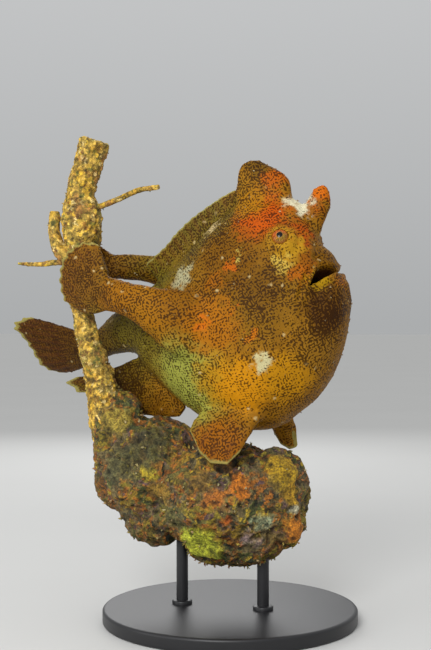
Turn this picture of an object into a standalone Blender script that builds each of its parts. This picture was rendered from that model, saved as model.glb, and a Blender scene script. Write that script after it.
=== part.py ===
"""A giant frogfish, life-size, gripping a cut length of overgrown branch on a display stand.

The fish heads along +X with its left side at +Y. The origin is the centre of the base's underside.
Sizes are drawn in millimetres and the finished pieces are scaled to metres.
"""

import math

import bmesh
import bpy
import numpy as np
from mathutils import Matrix, Vector, noise
from mathutils.bvhtree import BVHTree

MM = 0.001
GAP = 0.3  # clearance between pieces that touch
FAR = 400.0  # longer than any piece, for cutters that run right through

# Trunk from the tail root to the lips: back line x, z, belly line x, z, sideways shift, half width
TRUNK = [
    (-139, 243, -141, 218, 34, 7),
    (-115, 262, -114, 225, 26, 12),
    (-79, 282, -89, 225, 16, 18),
    (-50, 302, -66, 205, 8, 28),
    (-25, 325, -40, 184, 3, 39),
    (-2, 345, -13, 168, 0, 47),
    (22, 356, 17, 162, 0, 51),
    (44, 357, 43, 166, 0, 50),
    (61, 352.5, 62, 179, 0, 46),
    (74, 335, 78, 194, 0, 40),
    (78, 319.5, 90, 213, 0, 33),
    (84.5, 313.5, 97.5, 235, 0, 27),
    (90.5, 307, 101.5, 257, 0, 21),
    (94.5, 299, 102.5, 273, 0, 15),
    (96.5, 293.5, 101.5, 283, 0, 8),
    (98.5, 291, 101, 286, 0, 3.5),
]
TRUNK_RINGS = 30
TRUNK_SIDES = 28
BELLY_SHARE = 0.20  # how much wider the lower half of a section is than the upper

# Cuts that part the trunk: a point on each and the direction of the cut in the side view
NECK_TOP = (-4.0, 372.0)
NECK_BOTTOM = (62.0, 150.0)
TAIL_CUT_X = -84.0
TAIL_CUT_LEAN = -6.0

# Mouth: an oblique cleft, its corners low at the sides and its front at the tip of the snout
GAPE_ROOT = Vector((64, 0, 275))
GAPE_PITCH = math.radians(31)
GAPE_HALF_ANGLE = math.radians(64)
GAPE_OPEN_SIDE = 7.8
GAPE_OPEN_FRONT = 1.4
GAPE_STEPS = 14
LIP_RADIUS = 3.4
THROAT_CUT = (95.0, 210.0)
MOUTH_CAVITY = (Vector((72, 0, 280)), (17, 18, 7))

# Eye: centre in the side view, ball size, and how far the ball stands out of the head
EYE_X, EYE_Z = 53.0, 320.0
EYE_RADIUS = 7.2
EYE_STANDS_OUT = 5.7
ORBIT_RIM = 1.7
BROW_RADII = (14, 14, 4.2)
NOSTRILS = [(70.0, 315.0, 2.0), (79.5, 307.5, 1.7)]  # x, z, radius
GILL_PORE = (-68.0, 236.0, 4.2)

# Fleshy dorsal spines on the head: lean of their sections, then x, z, half length, half thickness
SPINE_SECOND_LEAN = math.radians(-29)
SPINE_SECOND = [
    (65, 333, 15, 10),
    (71, 342.3, 12, 8.8),
    (75, 347.5, 10.3, 7.8),
    (78.2, 353.6, 9.5, 7.1),
    (80, 359.3, 7.7, 5.8),
    (81.4, 363, 5.1, 4.0),
    (82.5, 365.6, 1.8, 1.5),
]
SPINE_THIRD_LEAN = math.radians(-6)
SPINE_THIRD = [
    (32, 348, 29, 14),
    (30, 358, 25.5, 12),
    (30, 367, 23.4, 9.8),
    (29.2, 375, 21.7, 8.4),
    (26, 381.5, 17, 7),
    (23, 386, 10.5, 5),
    (21.5, 389, 4, 2.4),
]

# Lure: a stalk laid back along the left of the second spine, with its bait in the hollow behind
ILLICIUM = [
    (74, 5, 322, 1.5),
    (75, 9.5, 333, 1.2),
    (73, 13, 342.5, 1.0),
    (68, 15, 348.5, 0.9),
    (62.5, 16, 349.5, 0.9),
    (58, 16, 348.5, 1.0),
]
ESCA_CENTRE = Vector((56.5, 16, 347.5))
ESCA_LOBES = 7
ESCA_LENGTH = 6.5

# Arms: x, y, z, half height, half thickness
ARM_RIGHT = [
    (-4, -28, 250, 34, 14),
    (-21, -39, 251, 30, 14),
    (-41, -47, 259, 22, 12),
    (-62, -49, 268, 15.5, 10.5),
    (-84, -43, 274.5, 13.5, 9),
    (-99, -35, 277.5, 15, 6.5),
]
ARM_LEFT = [
    (-18, 30, 268, 26, 12),
    (-37, 41, 279, 22, 12),
    (-60, 46, 295, 16, 10.5),
    (-84, 42, 300.5, 12.5, 9),
    (-104, 30, 303, 11, 8),
    (-114.5, 21, 303.5, 11.5, 6),
]

# Branch: x, y, z, radius, from the sawn top down into the knob
BRANCH = [
    (-121, -8, 412, 13),
    (-129, -8, 388, 12.6),
    (-135, -8, 368, 12.4),
    (-134, -8, 343, 17.5),
    (-133.5, -8, 322, 15.5),
    (-136, -8, 294, 11.5),
    (-131, -8, 252, 9.6),
    (-125, -8, 230, 10.4),
    (-119, -7, 210, 12.3),
    (-114, -6, 188, 14),
    (-109, -5, 166, 17),
    (-100, -4, 143, 19),
]
BRANCH_RINGS = 36
BRANCH_SIDES = 14
BRANCH_ROUGH = 1.6
# Twigs on the branch: points along each, and its radius at the root and the tip
TWIGS = [
    ([(-123, -8, 352), (-101, -6, 360), (-82, -2, 368), (-64, 0, 370.5)], 2.8, 2.2),
    ([(-136, -8, 307), (-155, -10, 306), (-177, -12, 304.5), (-194, -12, 305.5)], 3.6, 1.4),
    ([(-136, -10, 308), (-150, -12, 313), (-158, -12, 330), (-158, -12, 351)], 7.5, 4.6),
]

# Knob at the foot of the branch: centre and radii of the lumps that grew into it
KNOB_LUMPS = [
    ((-71, -2, 125), (50, 42, 46)),
    ((-6, -4, 106), (62, 48, 46)),
    ((42, -2, 110), (24, 34, 38)),
    ((-99, -4, 156), (24, 22, 38)),
    ((6, -3, 73), (48, 32, 24)),
    ((-61, -8, 90), (30, 30, 26)),
    ((49, -6, 83), (18, 20, 16)),
]
KNOB_VOXEL = 10.0
KNOB_ROUGH = 5.0
KNOB_GRAIN = 26.0

# Stand: a round foot plate and two rods up into the knob
BASE_RADIUS = 108.0
BASE_HEIGHT = 12.0
BASE_EDGE = 2.0
ROD_RADIUS = 5.0
RODS = {"stand_rod_front": (30.0, -3.0), "stand_rod_rear": (-42.0, -3.0)}

# Colours as the surface shows them, with roughness and metallic value
COLOURS = {
    "skin": ((0.62, 0.33, 0.08), 0.6, 0.0),
    "fin": ((0.66, 0.38, 0.12), 0.6, 0.0),
    "eye": ((0.35, 0.24, 0.10), 0.15, 0.0),
    "lure": ((0.72, 0.66, 0.52), 0.6, 0.0),
    "branch": ((0.58, 0.44, 0.24), 0.9, 0.0),
    "knob": ((0.40, 0.31, 0.16), 0.9, 0.0),
    "stand": ((0.05, 0.05, 0.055), 0.4, 0.6),
}


def clear_scene():
    for item in list(bpy.data.objects):
        bpy.data.objects.remove(item)


def new_collection(name):
    made = bpy.data.collections.new(name)
    bpy.context.scene.collection.children.link(made)
    return made


def smooth_rows(rows, count):
    """Rows read off at even steps along one smooth curve through the given rows."""
    rows = np.array(rows, float)
    knots = np.concatenate([[0.0], np.cumsum(np.linalg.norm(np.diff(rows, axis=0), axis=1))])
    slopes = np.gradient(rows, knots, axis=0)
    at = np.linspace(0.0, knots[-1], count)
    left = np.clip(np.searchsorted(knots, at, side="right") - 1, 0, len(rows) - 2)
    width = (knots[left + 1] - knots[left])[:, None]
    s = (at - knots[left])[:, None] / width
    return (
        (2 * s**3 - 3 * s**2 + 1) * rows[left]
        + (s**3 - 2 * s**2 + s) * width * slopes[left]
        + (3 * s**2 - 2 * s**3) * rows[left + 1]
        + (s**3 - s**2) * width * slopes[left + 1]
    )


def object_from(bm, name):
    """A mesh object made from bm, in the drawing's millimetres, with its faces pointing out."""
    bmesh.ops.recalc_face_normals(bm, faces=bm.faces)
    mesh = bpy.data.meshes.new(name)
    bm.to_mesh(mesh)
    bm.free()
    made = bpy.data.objects.new(name, mesh)
    bpy.context.scene.collection.objects.link(made)
    return made


def closed_loft(name, rings):
    """A closed solid through rings of points, each end capped by a fan to its middle."""
    bm = bmesh.new()
    loops = [[bm.verts.new(p) for p in ring] for ring in rings]
    for a, b in zip(loops, loops[1:]):
        for k in range(len(a)):
            n = (k + 1) % len(a)
            bm.faces.new((a[k], a[n], b[n], b[k]))
    for loop in (loops[0], loops[-1]):
        middle = bm.verts.new(sum((v.co for v in loop), Vector()) / len(loop))
        for k in range(len(loop)):
            bm.faces.new((loop[k], loop[(k + 1) % len(loop)], middle))
    return object_from(bm, name)


def egg_ring(centre, up, side, half_width, low, sides):
    """A section round centre: up is its half height as a vector, and low widens its lower half."""
    ring = []
    for k in range(sides):
        a = 2 * math.pi * k / sides
        out = math.sin(a) * (1 - low * math.cos(a)) * half_width
        ring.append(centre + up * math.cos(a) + side * out)
    return ring


def trunk_rings():
    rings = []
    rows = smooth_rows(TRUNK, TRUNK_RINGS)
    centres = np.stack([(rows[:, 0] + rows[:, 2]) / 2, rows[:, 4], (rows[:, 1] + rows[:, 3]) / 2], 1)
    headings = np.gradient(centres, axis=0)
    for row, centre, heading in zip(rows, centres, headings):
        up = Vector((row[0] - row[2], 0, row[1] - row[3])) / 2
        side = Vector((-heading[1], max(heading[0], 0.1), 0)).normalized()
        rings.append(egg_ring(Vector(centre), up, side, row[5], BELLY_SHARE, TRUNK_SIDES))
    return rings


def limb(name, rows, rings, sides, turn_up=Vector((0, 0, 1))):
    """A limb through rows of x, y, z, half height and half thickness, with rounded ends."""
    rows = smooth_rows(rows, rings)
    headings = np.gradient(rows[:, :3], axis=0)
    made = []
    for row, heading in zip(rows, headings):
        along = Vector(heading).normalized()
        side = turn_up.cross(along).normalized()
        up = along.cross(side).normalized()
        made.append(egg_ring(Vector(row[:3]), up * row[3], side, row[4], 0.0, sides))
    return closed_loft(name, made)


def spine_lobe(name, rows, lean, rings, sides):
    """A fleshy lobe on the midline through rows of x, z, half length and half thickness."""
    made = []
    across = Vector((math.cos(lean), 0, math.sin(lean)))
    for x, z, length, thickness in smooth_rows(rows, rings):
        made.append(egg_ring(Vector((x, 0, z)), across * length, Vector((0, 1, 0)), thickness, 0.0, sides))
    return closed_loft(name, made)


def tube(name, rows, rings, sides, turn_up=Vector((0.13, 1, 0.21))):
    """A round stalk through rows of x, y, z and radius."""
    rows = [(x, y, z, r, r) for x, y, z, r in rows]
    return limb(name, rows, rings, sides, turn_up.normalized())


def ellipsoid(name, centre, radii, u=16, v=10):
    bm = bmesh.new()
    bmesh.ops.create_uvsphere(bm, u_segments=u, v_segments=v, radius=1.0)
    for vert in bm.verts:
        vert.co = Vector(centre) + Vector(vert.co[i] * radii[i] for i in range(3))
    return object_from(bm, name)


def facing(normal):
    """A turn that points +Z along normal."""
    return Vector(normal).to_track_quat("Z", "Y").to_matrix().to_4x4()


def ring_at(name, centre, normal, major, minor, around=14, across=6):
    bpy.ops.mesh.primitive_torus_add(
        major_segments=around, minor_segments=across, major_radius=major, minor_radius=minor
    )
    made = bpy.context.object
    made.name = name
    made.data.transform(Matrix.Translation(centre) @ facing(normal))
    return made


def cone_at(name, centre, normal, low_radius, top_radius, height, sides=8):
    """A short cone that stands along normal, centred on centre."""
    bm = bmesh.new()
    bmesh.ops.create_cone(
        bm, cap_ends=True, segments=sides, radius1=low_radius, radius2=top_radius, depth=height
    )
    bmesh.ops.transform(bm, matrix=Matrix.Translation(centre) @ facing(normal), verts=bm.verts)
    return object_from(bm, name)


def prism(name, outline, half_width=FAR):
    """A solid with this outline in the side view, that reaches half_width to each side."""
    bm = bmesh.new()
    near = [bm.verts.new((x, -half_width, z)) for x, z in outline]
    far = [bm.verts.new((x, half_width, z)) for x, z in outline]
    bm.faces.new(near)
    bm.faces.new(reversed(far))
    for k in range(len(outline)):
        n = (k + 1) % len(outline)
        bm.faces.new((near[k], near[n], far[n], far[k]))
    return object_from(bm, name)


def baked(target):
    """target's modifiers are applied to its mesh."""
    graph = bpy.context.evaluated_depsgraph_get()
    mesh = bpy.data.meshes.new_from_object(target.evaluated_get(graph))
    target.modifiers.clear()
    target.data = mesh


def keep_largest(target):
    """Only the largest closed surface of target stays."""
    bm = bmesh.new()
    bm.from_mesh(target.data)
    bmesh.ops.triangulate(bm, faces=bm.faces)
    left = set(bm.faces)
    shells = []
    while left:
        edge = [left.pop()]
        shell = set(edge)
        while edge:
            face = edge.pop()
            for side in face.edges:
                for other in side.link_faces:
                    if other in left:
                        left.discard(other)
                        shell.add(other)
                        edge.append(other)
        shells.append(shell)
    largest = max(shells, key=lambda s: sum(f.calc_area() for f in s))
    bmesh.ops.delete(bm, geom=[f for f in bm.faces if f not in largest], context="FACES")
    bm.to_mesh(target.data)
    bm.free()


def is_closed(mesh):
    """Whether every edge of mesh is shared by exactly two faces, and there are some."""
    uses = {}
    for polygon in mesh.polygons:
        for key in polygon.edge_keys:
            uses[key] = uses.get(key, 0) + 1
    return bool(uses) and all(count == 2 for count in uses.values())


def volume_of(mesh):
    bm = bmesh.new()
    bm.from_mesh(mesh)
    volume = bm.calc_volume()
    bm.free()
    return volume


def boolean(target, cutter, operation):
    """target is combined with cutter, which is then removed.

    The second solver is used where the first leaves an open surface or a size that can't be right.
    """
    before = target.data
    whole, cut = volume_of(before), volume_of(cutter.data)
    least = max(whole - cut, 0.0) * 0.999 if operation == "DIFFERENCE" else 0.0
    most = whole if operation == "DIFFERENCE" else min(whole, cut)
    for solver in ("EXACT", "MANIFOLD"):
        target.data = before
        bpy.context.view_layer.update()
        step = target.modifiers.new(operation.lower(), "BOOLEAN")
        step.operation = operation
        step.solver = solver
        step.object = cutter
        baked(target)
        if is_closed(target.data) and least <= volume_of(target.data) <= most * 1.001:
            break
    bpy.data.objects.remove(cutter)


def fuse(target, pieces):
    """One union of target and the pieces, which are then removed."""
    joined = bpy.data.collections.new("pieces")
    for piece in pieces:
        joined.objects.link(piece)
    bpy.context.view_layer.update()
    step = target.modifiers.new("union", "BOOLEAN")
    step.operation = "UNION"
    step.operand_type = "COLLECTION"
    step.collection = joined
    baked(target)
    for piece in pieces:
        bpy.data.objects.remove(piece)
    bpy.data.collections.remove(joined)


def grown(source, by=GAP):
    """A copy of source with its surface moved out, to cut a neighbour clear of it."""
    bm = bmesh.new()
    bm.from_mesh(source.data)
    bm.normal_update()
    moves = [v.normal * by * min(v.calc_shell_factor(), 1.6) for v in bm.verts]
    for vert, move in zip(bm.verts, moves):
        vert.co += move
    mesh = bpy.data.meshes.new("grown")
    bm.to_mesh(mesh)
    bm.free()
    made = bpy.data.objects.new("grown", mesh)
    bpy.context.scene.collection.objects.link(made)
    return made


def clear_of(target, *neighbours):
    """target is cut back to leave the clearance to each neighbour."""
    for neighbour in neighbours:
        boolean(target, grown(neighbour), "DIFFERENCE")
    keep_largest(target)


def copy_of(source, name):
    made = bpy.data.objects.new(name, source.data.copy())
    bpy.context.scene.collection.objects.link(made)
    return made


def surface_tree(source):
    return BVHTree.FromPolygons(
        [v.co for v in source.data.vertices], [p.vertices for p in source.data.polygons]
    )


def hit_from_side(tree, x, z, side):
    """The point and the normal of the surface, met from the fish's right (side -1) or left (side 1)."""
    point, normal, _, _ = tree.ray_cast(Vector((x, side * FAR, z)), Vector((0, -side, 0)))
    return point, normal


def gape_axes():
    forward = Vector((math.cos(GAPE_PITCH), 0, math.sin(GAPE_PITCH)))
    across = Vector((-math.sin(GAPE_PITCH), 0, math.cos(GAPE_PITCH)))
    return forward, across


def gape_opening(share):
    """Half the height of the open mouth, share being 0 at the front and 1 at a corner."""
    close = math.sqrt(max(0.0, 1 - share**4))
    side = math.sin(math.pi * share**1.25) ** 2
    return (GAPE_OPEN_FRONT + (GAPE_OPEN_SIDE - GAPE_OPEN_FRONT) * side) / 2 * close


def gape_path(tree):
    """For each step across the mouth: its share, direction, distance to the lips."""
    forward, _ = gape_axes()
    path = []
    for k in range(GAPE_STEPS + 1):
        share = 2 * k / GAPE_STEPS - 1
        angle = share * GAPE_HALF_ANGLE
        way = forward * math.cos(angle) + Vector((0, math.sin(angle), 0))
        _, _, _, reach = tree.ray_cast(GAPE_ROOT, way)
        path.append((abs(share), way, reach))
    return path


def mouth_cutter(path):
    """A wedge that opens from deep in the mouth out past the lips."""
    _, across = gape_axes()
    rings = []
    for share, way, reach in path:
        half = gape_opening(share) + 0.15
        inner = GAPE_ROOT + way * 4
        outer = GAPE_ROOT + way * (reach + 14)
        rings.append([inner + across * 0.6, outer + across * half * 1.25, outer - across * half * 1.25, inner - across * 0.6])
    return closed_loft("mouth_cutter", rings)


def lip(name, path, upper):
    _, across = gape_axes()
    rows = []
    for share, way, reach in path:
        radius = LIP_RADIUS * (1 - 0.45 * share**2)
        lift = (gape_opening(share) + radius * 0.55) * (1 if upper else -1)
        sunk = radius * (0.9 - 0.55 * share)
        rows.append((*(GAPE_ROOT + way * (reach - sunk) + across * lift), radius))
    return tube(name, rows, GAPE_STEPS + 5, 8, across)


def make_trunk():
    """The whole body without fins, with the face worked into it, before it is parted."""
    trunk = closed_loft("trunk", trunk_rings())
    tree = surface_tree(trunk)
    path = gape_path(tree)
    pieces = [lip("upper_lip", path, True), lip("lower_lip", path, False)]
    pits = [mouth_cutter(path), ellipsoid("cavity", *MOUTH_CAVITY)]
    eyes = {}
    for side, word in ((-1, "right"), (1, "left")):
        spot, out = hit_from_side(tree, EYE_X, EYE_Z, side)
        brow = ellipsoid("brow", (0, 0, 0), BROW_RADII)
        brow.data.transform(Matrix.Translation(spot - out * 1.2) @ facing(out))
        pieces.append(brow)
        centre = spot + out * (EYE_STANDS_OUT - EYE_RADIUS)
        pieces.append(ring_at("orbit", spot + out * 1.6, out, EYE_RADIUS + 0.4, ORBIT_RIM))
        eyes[word] = (centre, out)
        pits.append(ellipsoid("socket", centre, (EYE_RADIUS + GAP,) * 3, 14, 9))
        for x, z, radius in NOSTRILS:
            spot, out = hit_from_side(tree, x, z, side)
            pieces.append(cone_at("nostril", spot + out * 0.4, out, radius * 1.3, radius * 0.8, 4.0))
            pits.append(cone_at("nostril_pit", spot + out * 2.2, out, radius * 0.3, radius * 0.5, 4.0, 6))
        x, z, radius = GILL_PORE
        spot, out = hit_from_side(tree, x, z, side)
        pieces.append(cone_at("gill_rim", spot + out * 0.6, out, radius * 1.35, radius * 0.85, 4.4, 12))
        pits.append(cone_at("gill_pit", spot + out * 1.2, out, radius * 0.3, radius * 0.62, 6.0, 10))
    fuse(trunk, pieces)
    for pit in pits:
        boolean(trunk, pit, "DIFFERENCE")
    keep_largest(trunk)
    return trunk, eyes


def jaw_outline(off):
    """The lower jaw's region in the side view, its two cuts moved outwards by off."""
    forward, across = gape_axes()
    corner = GAPE_ROOT + forward * 12
    down = Vector((THROAT_CUT[0] - corner.x, 0, THROAT_CUT[1] - corner.z)).normalized()
    back = Vector((down.z, 0, -down.x))
    corner = corner + across * off + back * off
    ends = [corner, corner + forward * FAR, corner + (forward + down) * FAR, corner + down * FAR]
    return [(p.x, p.z) for p in ends]


def strip_outline(rear, front):
    """The region between two cuts, each given by its lower and upper point."""
    return [rear[0], front[0], front[1], rear[1]]


def shifted(cut, by):
    return [(x + by, z) for x, z in cut]


def part_trunk(trunk):
    """Head, lower jaw, torso and tail, cut from the one trunk with thin gaps."""
    slope = (NECK_TOP[0] - NECK_BOTTOM[0]) / (NECK_TOP[1] - NECK_BOTTOM[1])
    neck = [(NECK_BOTTOM[0] - slope * 150, 0), (NECK_TOP[0] + slope * 60, 432)]
    tail = [(TAIL_CUT_X + TAIL_CUT_LEAN, 150), (TAIL_CUT_X - TAIL_CUT_LEAN, 380)]
    rear_end = [(-FAR, 0), (-FAR, 432)]
    front_end = [(FAR, 0), (FAR, 432)]
    half = GAP / 2
    nodes = {
        "head": strip_outline(shifted(neck, half), front_end),
        "torso": strip_outline(shifted(tail, half), shifted(neck, -half)),
        "tail_peduncle": strip_outline(rear_end, shifted(tail, -half)),
    }
    made = {}
    for name, outline in nodes.items():
        made[name] = copy_of(trunk, name)
        boolean(made[name], prism("region", outline), "INTERSECT")
    made["lower_jaw"] = copy_of(made["head"], "lower_jaw")
    boolean(made["lower_jaw"], prism("region", jaw_outline(0)), "INTERSECT")
    boolean(made["head"], prism("region", jaw_outline(GAP)), "DIFFERENCE")
    for piece in made.values():
        keep_largest(piece)
    return made


def fin(name, roots, mids, tips, rays, root_half, edge_half, ridge, notch=0.06, rows=6, sink=0.12):
    """A rayed fin: a sheet from roots over mids to tips, its rays raised on both faces.

    Each list runs from the first ray to the last. The first row of points lies sunk below the roots.
    """
    columns = 2 * rays + 1
    lists = [smooth_rows(points, columns) for points in (roots, mids, tips)]
    on_ray = np.array([k % 2 for k in range(columns)], float)
    steps = np.concatenate([[-sink], np.linspace(0, 1, rows)])
    grid = np.zeros((len(steps), columns, 3))
    for j, v in enumerate(steps):
        reach = v * (1 - notch * (1 - on_ray) * max(v, 0) ** 2)[:, None]
        grid[j] = (1 - reach) ** 2 * lists[0] + 2 * reach * (1 - reach) * lists[1] + reach**2 * lists[2]
    across = np.gradient(grid, axis=1)
    along = np.gradient(grid, axis=0)
    normal = np.cross(across, along)
    normal /= np.linalg.norm(normal, axis=2, keepdims=True)
    share = np.clip(steps, 0, 1)[:, None]
    half = root_half + (edge_half - root_half) * share**0.8
    half = half + ridge * (1 - 0.65 * share) * on_ray[None, :]
    bm = bmesh.new()
    faces = [
        [[bm.verts.new(p) for p in row] for row in grid + sign * normal * half[:, :, None]]
        for sign in (1, -1)
    ]
    for flip, sheet in enumerate(faces):
        for j in range(len(steps) - 1):
            for k in range(columns - 1):
                a, b, c, d = sheet[j][k], sheet[j][k + 1], sheet[j + 1][k + 1], sheet[j + 1][k]
                for corners in ((a, b, c), (a, c, d)):
                    bm.faces.new(reversed(corners) if flip else corners)
    front, back = faces
    edge_front = front[0] + [row[-1] for row in front[1:-1]] + front[-1][::-1] + [row[0] for row in front[-2:0:-1]]
    edge_back = back[0] + [row[-1] for row in back[1:-1]] + back[-1][::-1] + [row[0] for row in back[-2:0:-1]]
    for k in range(len(edge_front)):
        n = (k + 1) % len(edge_front)
        bm.faces.new((edge_front[k], edge_back[k], edge_back[n]))
        bm.faces.new((edge_front[k], edge_back[n], edge_front[n]))
    return object_from(bm, name)


def between(a, b, share=0.5, move=(0, 0, 0)):
    """Points between two equal lists, moved a little, as the middle of a fin that bends."""
    return [tuple(p[i] + (q[i] - p[i]) * share + move[i] for i in range(3)) for p, q in zip(a, b)]


def make_dorsal():
    roots = [(6, 0, 350), (-14, 0, 331), (-30, 2, 313), (-46, 5, 297), (-66, 10, 284)]
    tips = [(4, 0, 365), (-23, 2, 351), (-46, 6, 335), (-62, 10, 320), (-82, 14, 304)]
    mids = between(roots, tips, 0.5, (3, 0, 1))
    return fin("dorsal_fin", roots, mids, tips, 13, 3.2, 0.8, 0.9, rows=5, sink=0.3)


def make_anal():
    roots = [(-36, 2, 191), (-51, 4, 199), (-65, 7, 209), (-82, 13, 226)]
    mids = [(-44, 6, 176), (-72, 13, 176), (-104, 20, 192), (-122, 21, 205)]
    tips = [(-49, 9, 171), (-88, 19, 171), (-143, 25, 190), (-158, 28, 190), (-167, 29, 196), (-158, 28, 203)]
    return fin("anal_fin", roots, mids, tips, 8, 3.4, 0.8, 0.9, notch=0.04, rows=7, sink=0.2)


def make_caudal():
    roots = [(-137, 33, 238), (-139, 34, 234), (-140, 34.5, 229), (-140, 35, 224), (-138, 35, 220)]
    mids = [(-168, 37, 249), (-178, 39, 246), (-180, 42, 236), (-178, 46, 226), (-170, 48, 215), (-160, 49, 208)]
    tips = [(-212, 44, 258.5), (-231, 47, 250.5), (-220, 51, 238), (-213, 56, 224), (-206, 60, 211.5), (-184, 62, 206.5)]
    return fin("caudal_fin", roots, mids, tips, 9, 3.2, 0.9, 1.0, notch=0.035, rows=8, sink=0.12)


def make_pelvics():
    right_roots = [(-13, -26, 182), (0, -31, 178), (14, -33, 177), (28, -30, 178), (40, -25, 180)]
    right_tips = [(-21, -42, 164), (-18, -49, 148), (-4, -53, 139), (15, -53, 140), (25, -46, 152)]
    right_mids = between(right_roots, right_tips, 0.5, (0, -7, 3))
    left_roots = [(24, 18, 174), (32, 22, 173), (40, 24, 175), (47, 23, 180)]
    left_tips = [(30, 32, 158), (39, 38, 144), (46, 42, 143), (47, 36, 158)]
    left_mids = between(left_roots, left_tips, 0.5, (0, 5, 2))
    return [
        fin("pelvic_fin_right", right_roots, right_mids, right_tips, 5, 6.5, 1.0, 1.0, notch=0.03, sink=0.35),
        fin("pelvic_fin_left", left_roots, left_mids, left_tips, 5, 6.0, 1.0, 1.0, notch=0.03, sink=0.35),
    ]


def make_hands():
    right_roots = [(-98, -33, 291), (-101, -35, 284), (-102, -35, 277), (-101, -34, 270), (-99, -33, 264)]
    right_mids = [(-102, -34, 306), (-114, -32, 302), (-123, -30, 288), (-121, -30, 272), (-110, -31, 259)]
    right_tips = [(-110, -27, 320), (-126, -27, 321.5), (-148, -18, 306), (-151.5, -15, 290), (-147, -16, 274), (-126, -22, 261.5)]
    left_roots = [(-114, 19, 313), (-115, 20, 308), (-115, 20, 303), (-115, 20, 298), (-113, 20, 293)]
    left_mids = [(-122, 16, 317), (-130, 15, 314), (-136, 14, 303), (-133, 14, 292), (-124, 15, 286)]
    left_tips = [(-132, 11, 327), (-149, 5, 321), (-152, 2, 303), (-148, 3, 285), (-133, 8, 278)]
    return [
        fin("hand_right", right_roots, right_mids, right_tips, 11, 4.6, 1.1, 0.9, notch=0.04, rows=7, sink=0.12),
        fin("hand_left", left_roots, left_mids, left_tips, 11, 4.2, 1.1, 0.9, notch=0.04, rows=7, sink=0.12),
    ]


def make_esca():
    """The bait: a core with a tuft of tapered lobes set round it."""
    core = ellipsoid("esca", ESCA_CENTRE, (2.4, 1.9, 2.1), 10, 7)
    lobes = []
    for k in range(ESCA_LOBES):
        turn = 2.4 * k
        lift = 0.9 - 1.5 * k / ESCA_LOBES
        way = Vector((-0.5 + 0.6 * math.cos(turn), 0.8 * math.sin(turn), lift)).normalized()
        length = ESCA_LENGTH * (0.8 + 0.2 * math.cos(3 * turn))
        lobes.append(cone_at("lobe", ESCA_CENTRE + way * length * 0.5, way, 0.8, 0.3, length, 6))
    fuse(core, lobes)
    keep_largest(core)
    return core


def roughened(target, size, grain, seed):
    """target's surface pushed in and out by smooth noise, as crusts of growth do."""
    bm = bmesh.new()
    bm.from_mesh(target.data)
    bm.normal_update()
    offset = Vector((seed, 2.3 * seed, -1.7 * seed))
    moves = []
    for vert in bm.verts:
        here = vert.co / grain + offset
        moves.append(vert.normal * size * (noise.noise(here) + 0.5 * noise.noise(here * 2.3)))
    for vert, move in zip(bm.verts, moves):
        vert.co += move
    bm.to_mesh(target.data)
    bm.free()


def make_branch():
    branch = tube("perch_branch", BRANCH, BRANCH_RINGS, BRANCH_SIDES)
    roughened(branch, BRANCH_ROUGH, 9.0, 4)
    twigs = []
    for points, thick, thin in TWIGS:
        radii = np.linspace(thick, thin, len(points))
        rows = [(*point, radius) for point, radius in zip(points, radii)]
        twigs.append(tube("twig", rows, 9, 7))
    fuse(branch, twigs)
    keep_largest(branch)
    return branch


def make_knob():
    """Lumps grown together into one rough knob."""
    lumps = [ellipsoid("lump", centre, radii, 20, 12) for centre, radii in KNOB_LUMPS]
    knob = lumps.pop(0)
    knob.name = "perch_knob"
    fuse(knob, lumps)
    melt = knob.modifiers.new("melt", "REMESH")
    melt.mode = "VOXEL"
    melt.voxel_size = KNOB_VOXEL
    baked(knob)
    roughened(knob, KNOB_ROUGH, KNOB_GRAIN, 11)
    keep_largest(knob)
    return knob


def make_stand(knob):
    bm = bmesh.new()
    bmesh.ops.create_cone(
        bm, cap_ends=True, segments=48, radius1=BASE_RADIUS, radius2=BASE_RADIUS, depth=BASE_HEIGHT
    )
    bmesh.ops.translate(bm, vec=(0, 0, BASE_HEIGHT / 2), verts=bm.verts)
    base = object_from(bm, "stand_base")
    edge = base.modifiers.new("edge", "BEVEL")
    edge.width = BASE_EDGE
    edge.segments = 1
    baked(base)
    rods = []
    for name, (x, y) in RODS.items():
        bottom = BASE_HEIGHT + GAP
        top = KNOB_LUMPS[1][0][2]
        rod = cone_at(name, Vector((x, y, (bottom + top) / 2)), (0, 0, 1), ROD_RADIUS, ROD_RADIUS, top - bottom, 16)
        clear_of(rod, knob)
        rods.append(rod)
    return base, rods


def painted(target, colour):
    rgb, rough, metal = COLOURS[colour]
    material = bpy.data.materials.new(target.name)
    material.use_nodes = True
    shader = material.node_tree.nodes["Principled BSDF"]
    shader.inputs["Base Color"].default_value = (*rgb, 1)
    shader.inputs["Roughness"].default_value = rough
    shader.inputs["Metallic"].default_value = metal
    target.data.materials.clear()
    target.data.materials.append(material)


def finished(target, colour, collection):
    """target is scaled to metres, painted, shaded smooth and put in the model's collection."""
    target.data.transform(Matrix.Scale(MM, 4))
    painted(target, colour)
    target.data.shade_smooth()
    for old in list(target.users_collection):
        old.objects.unlink(target)
    collection.objects.link(target)


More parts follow.
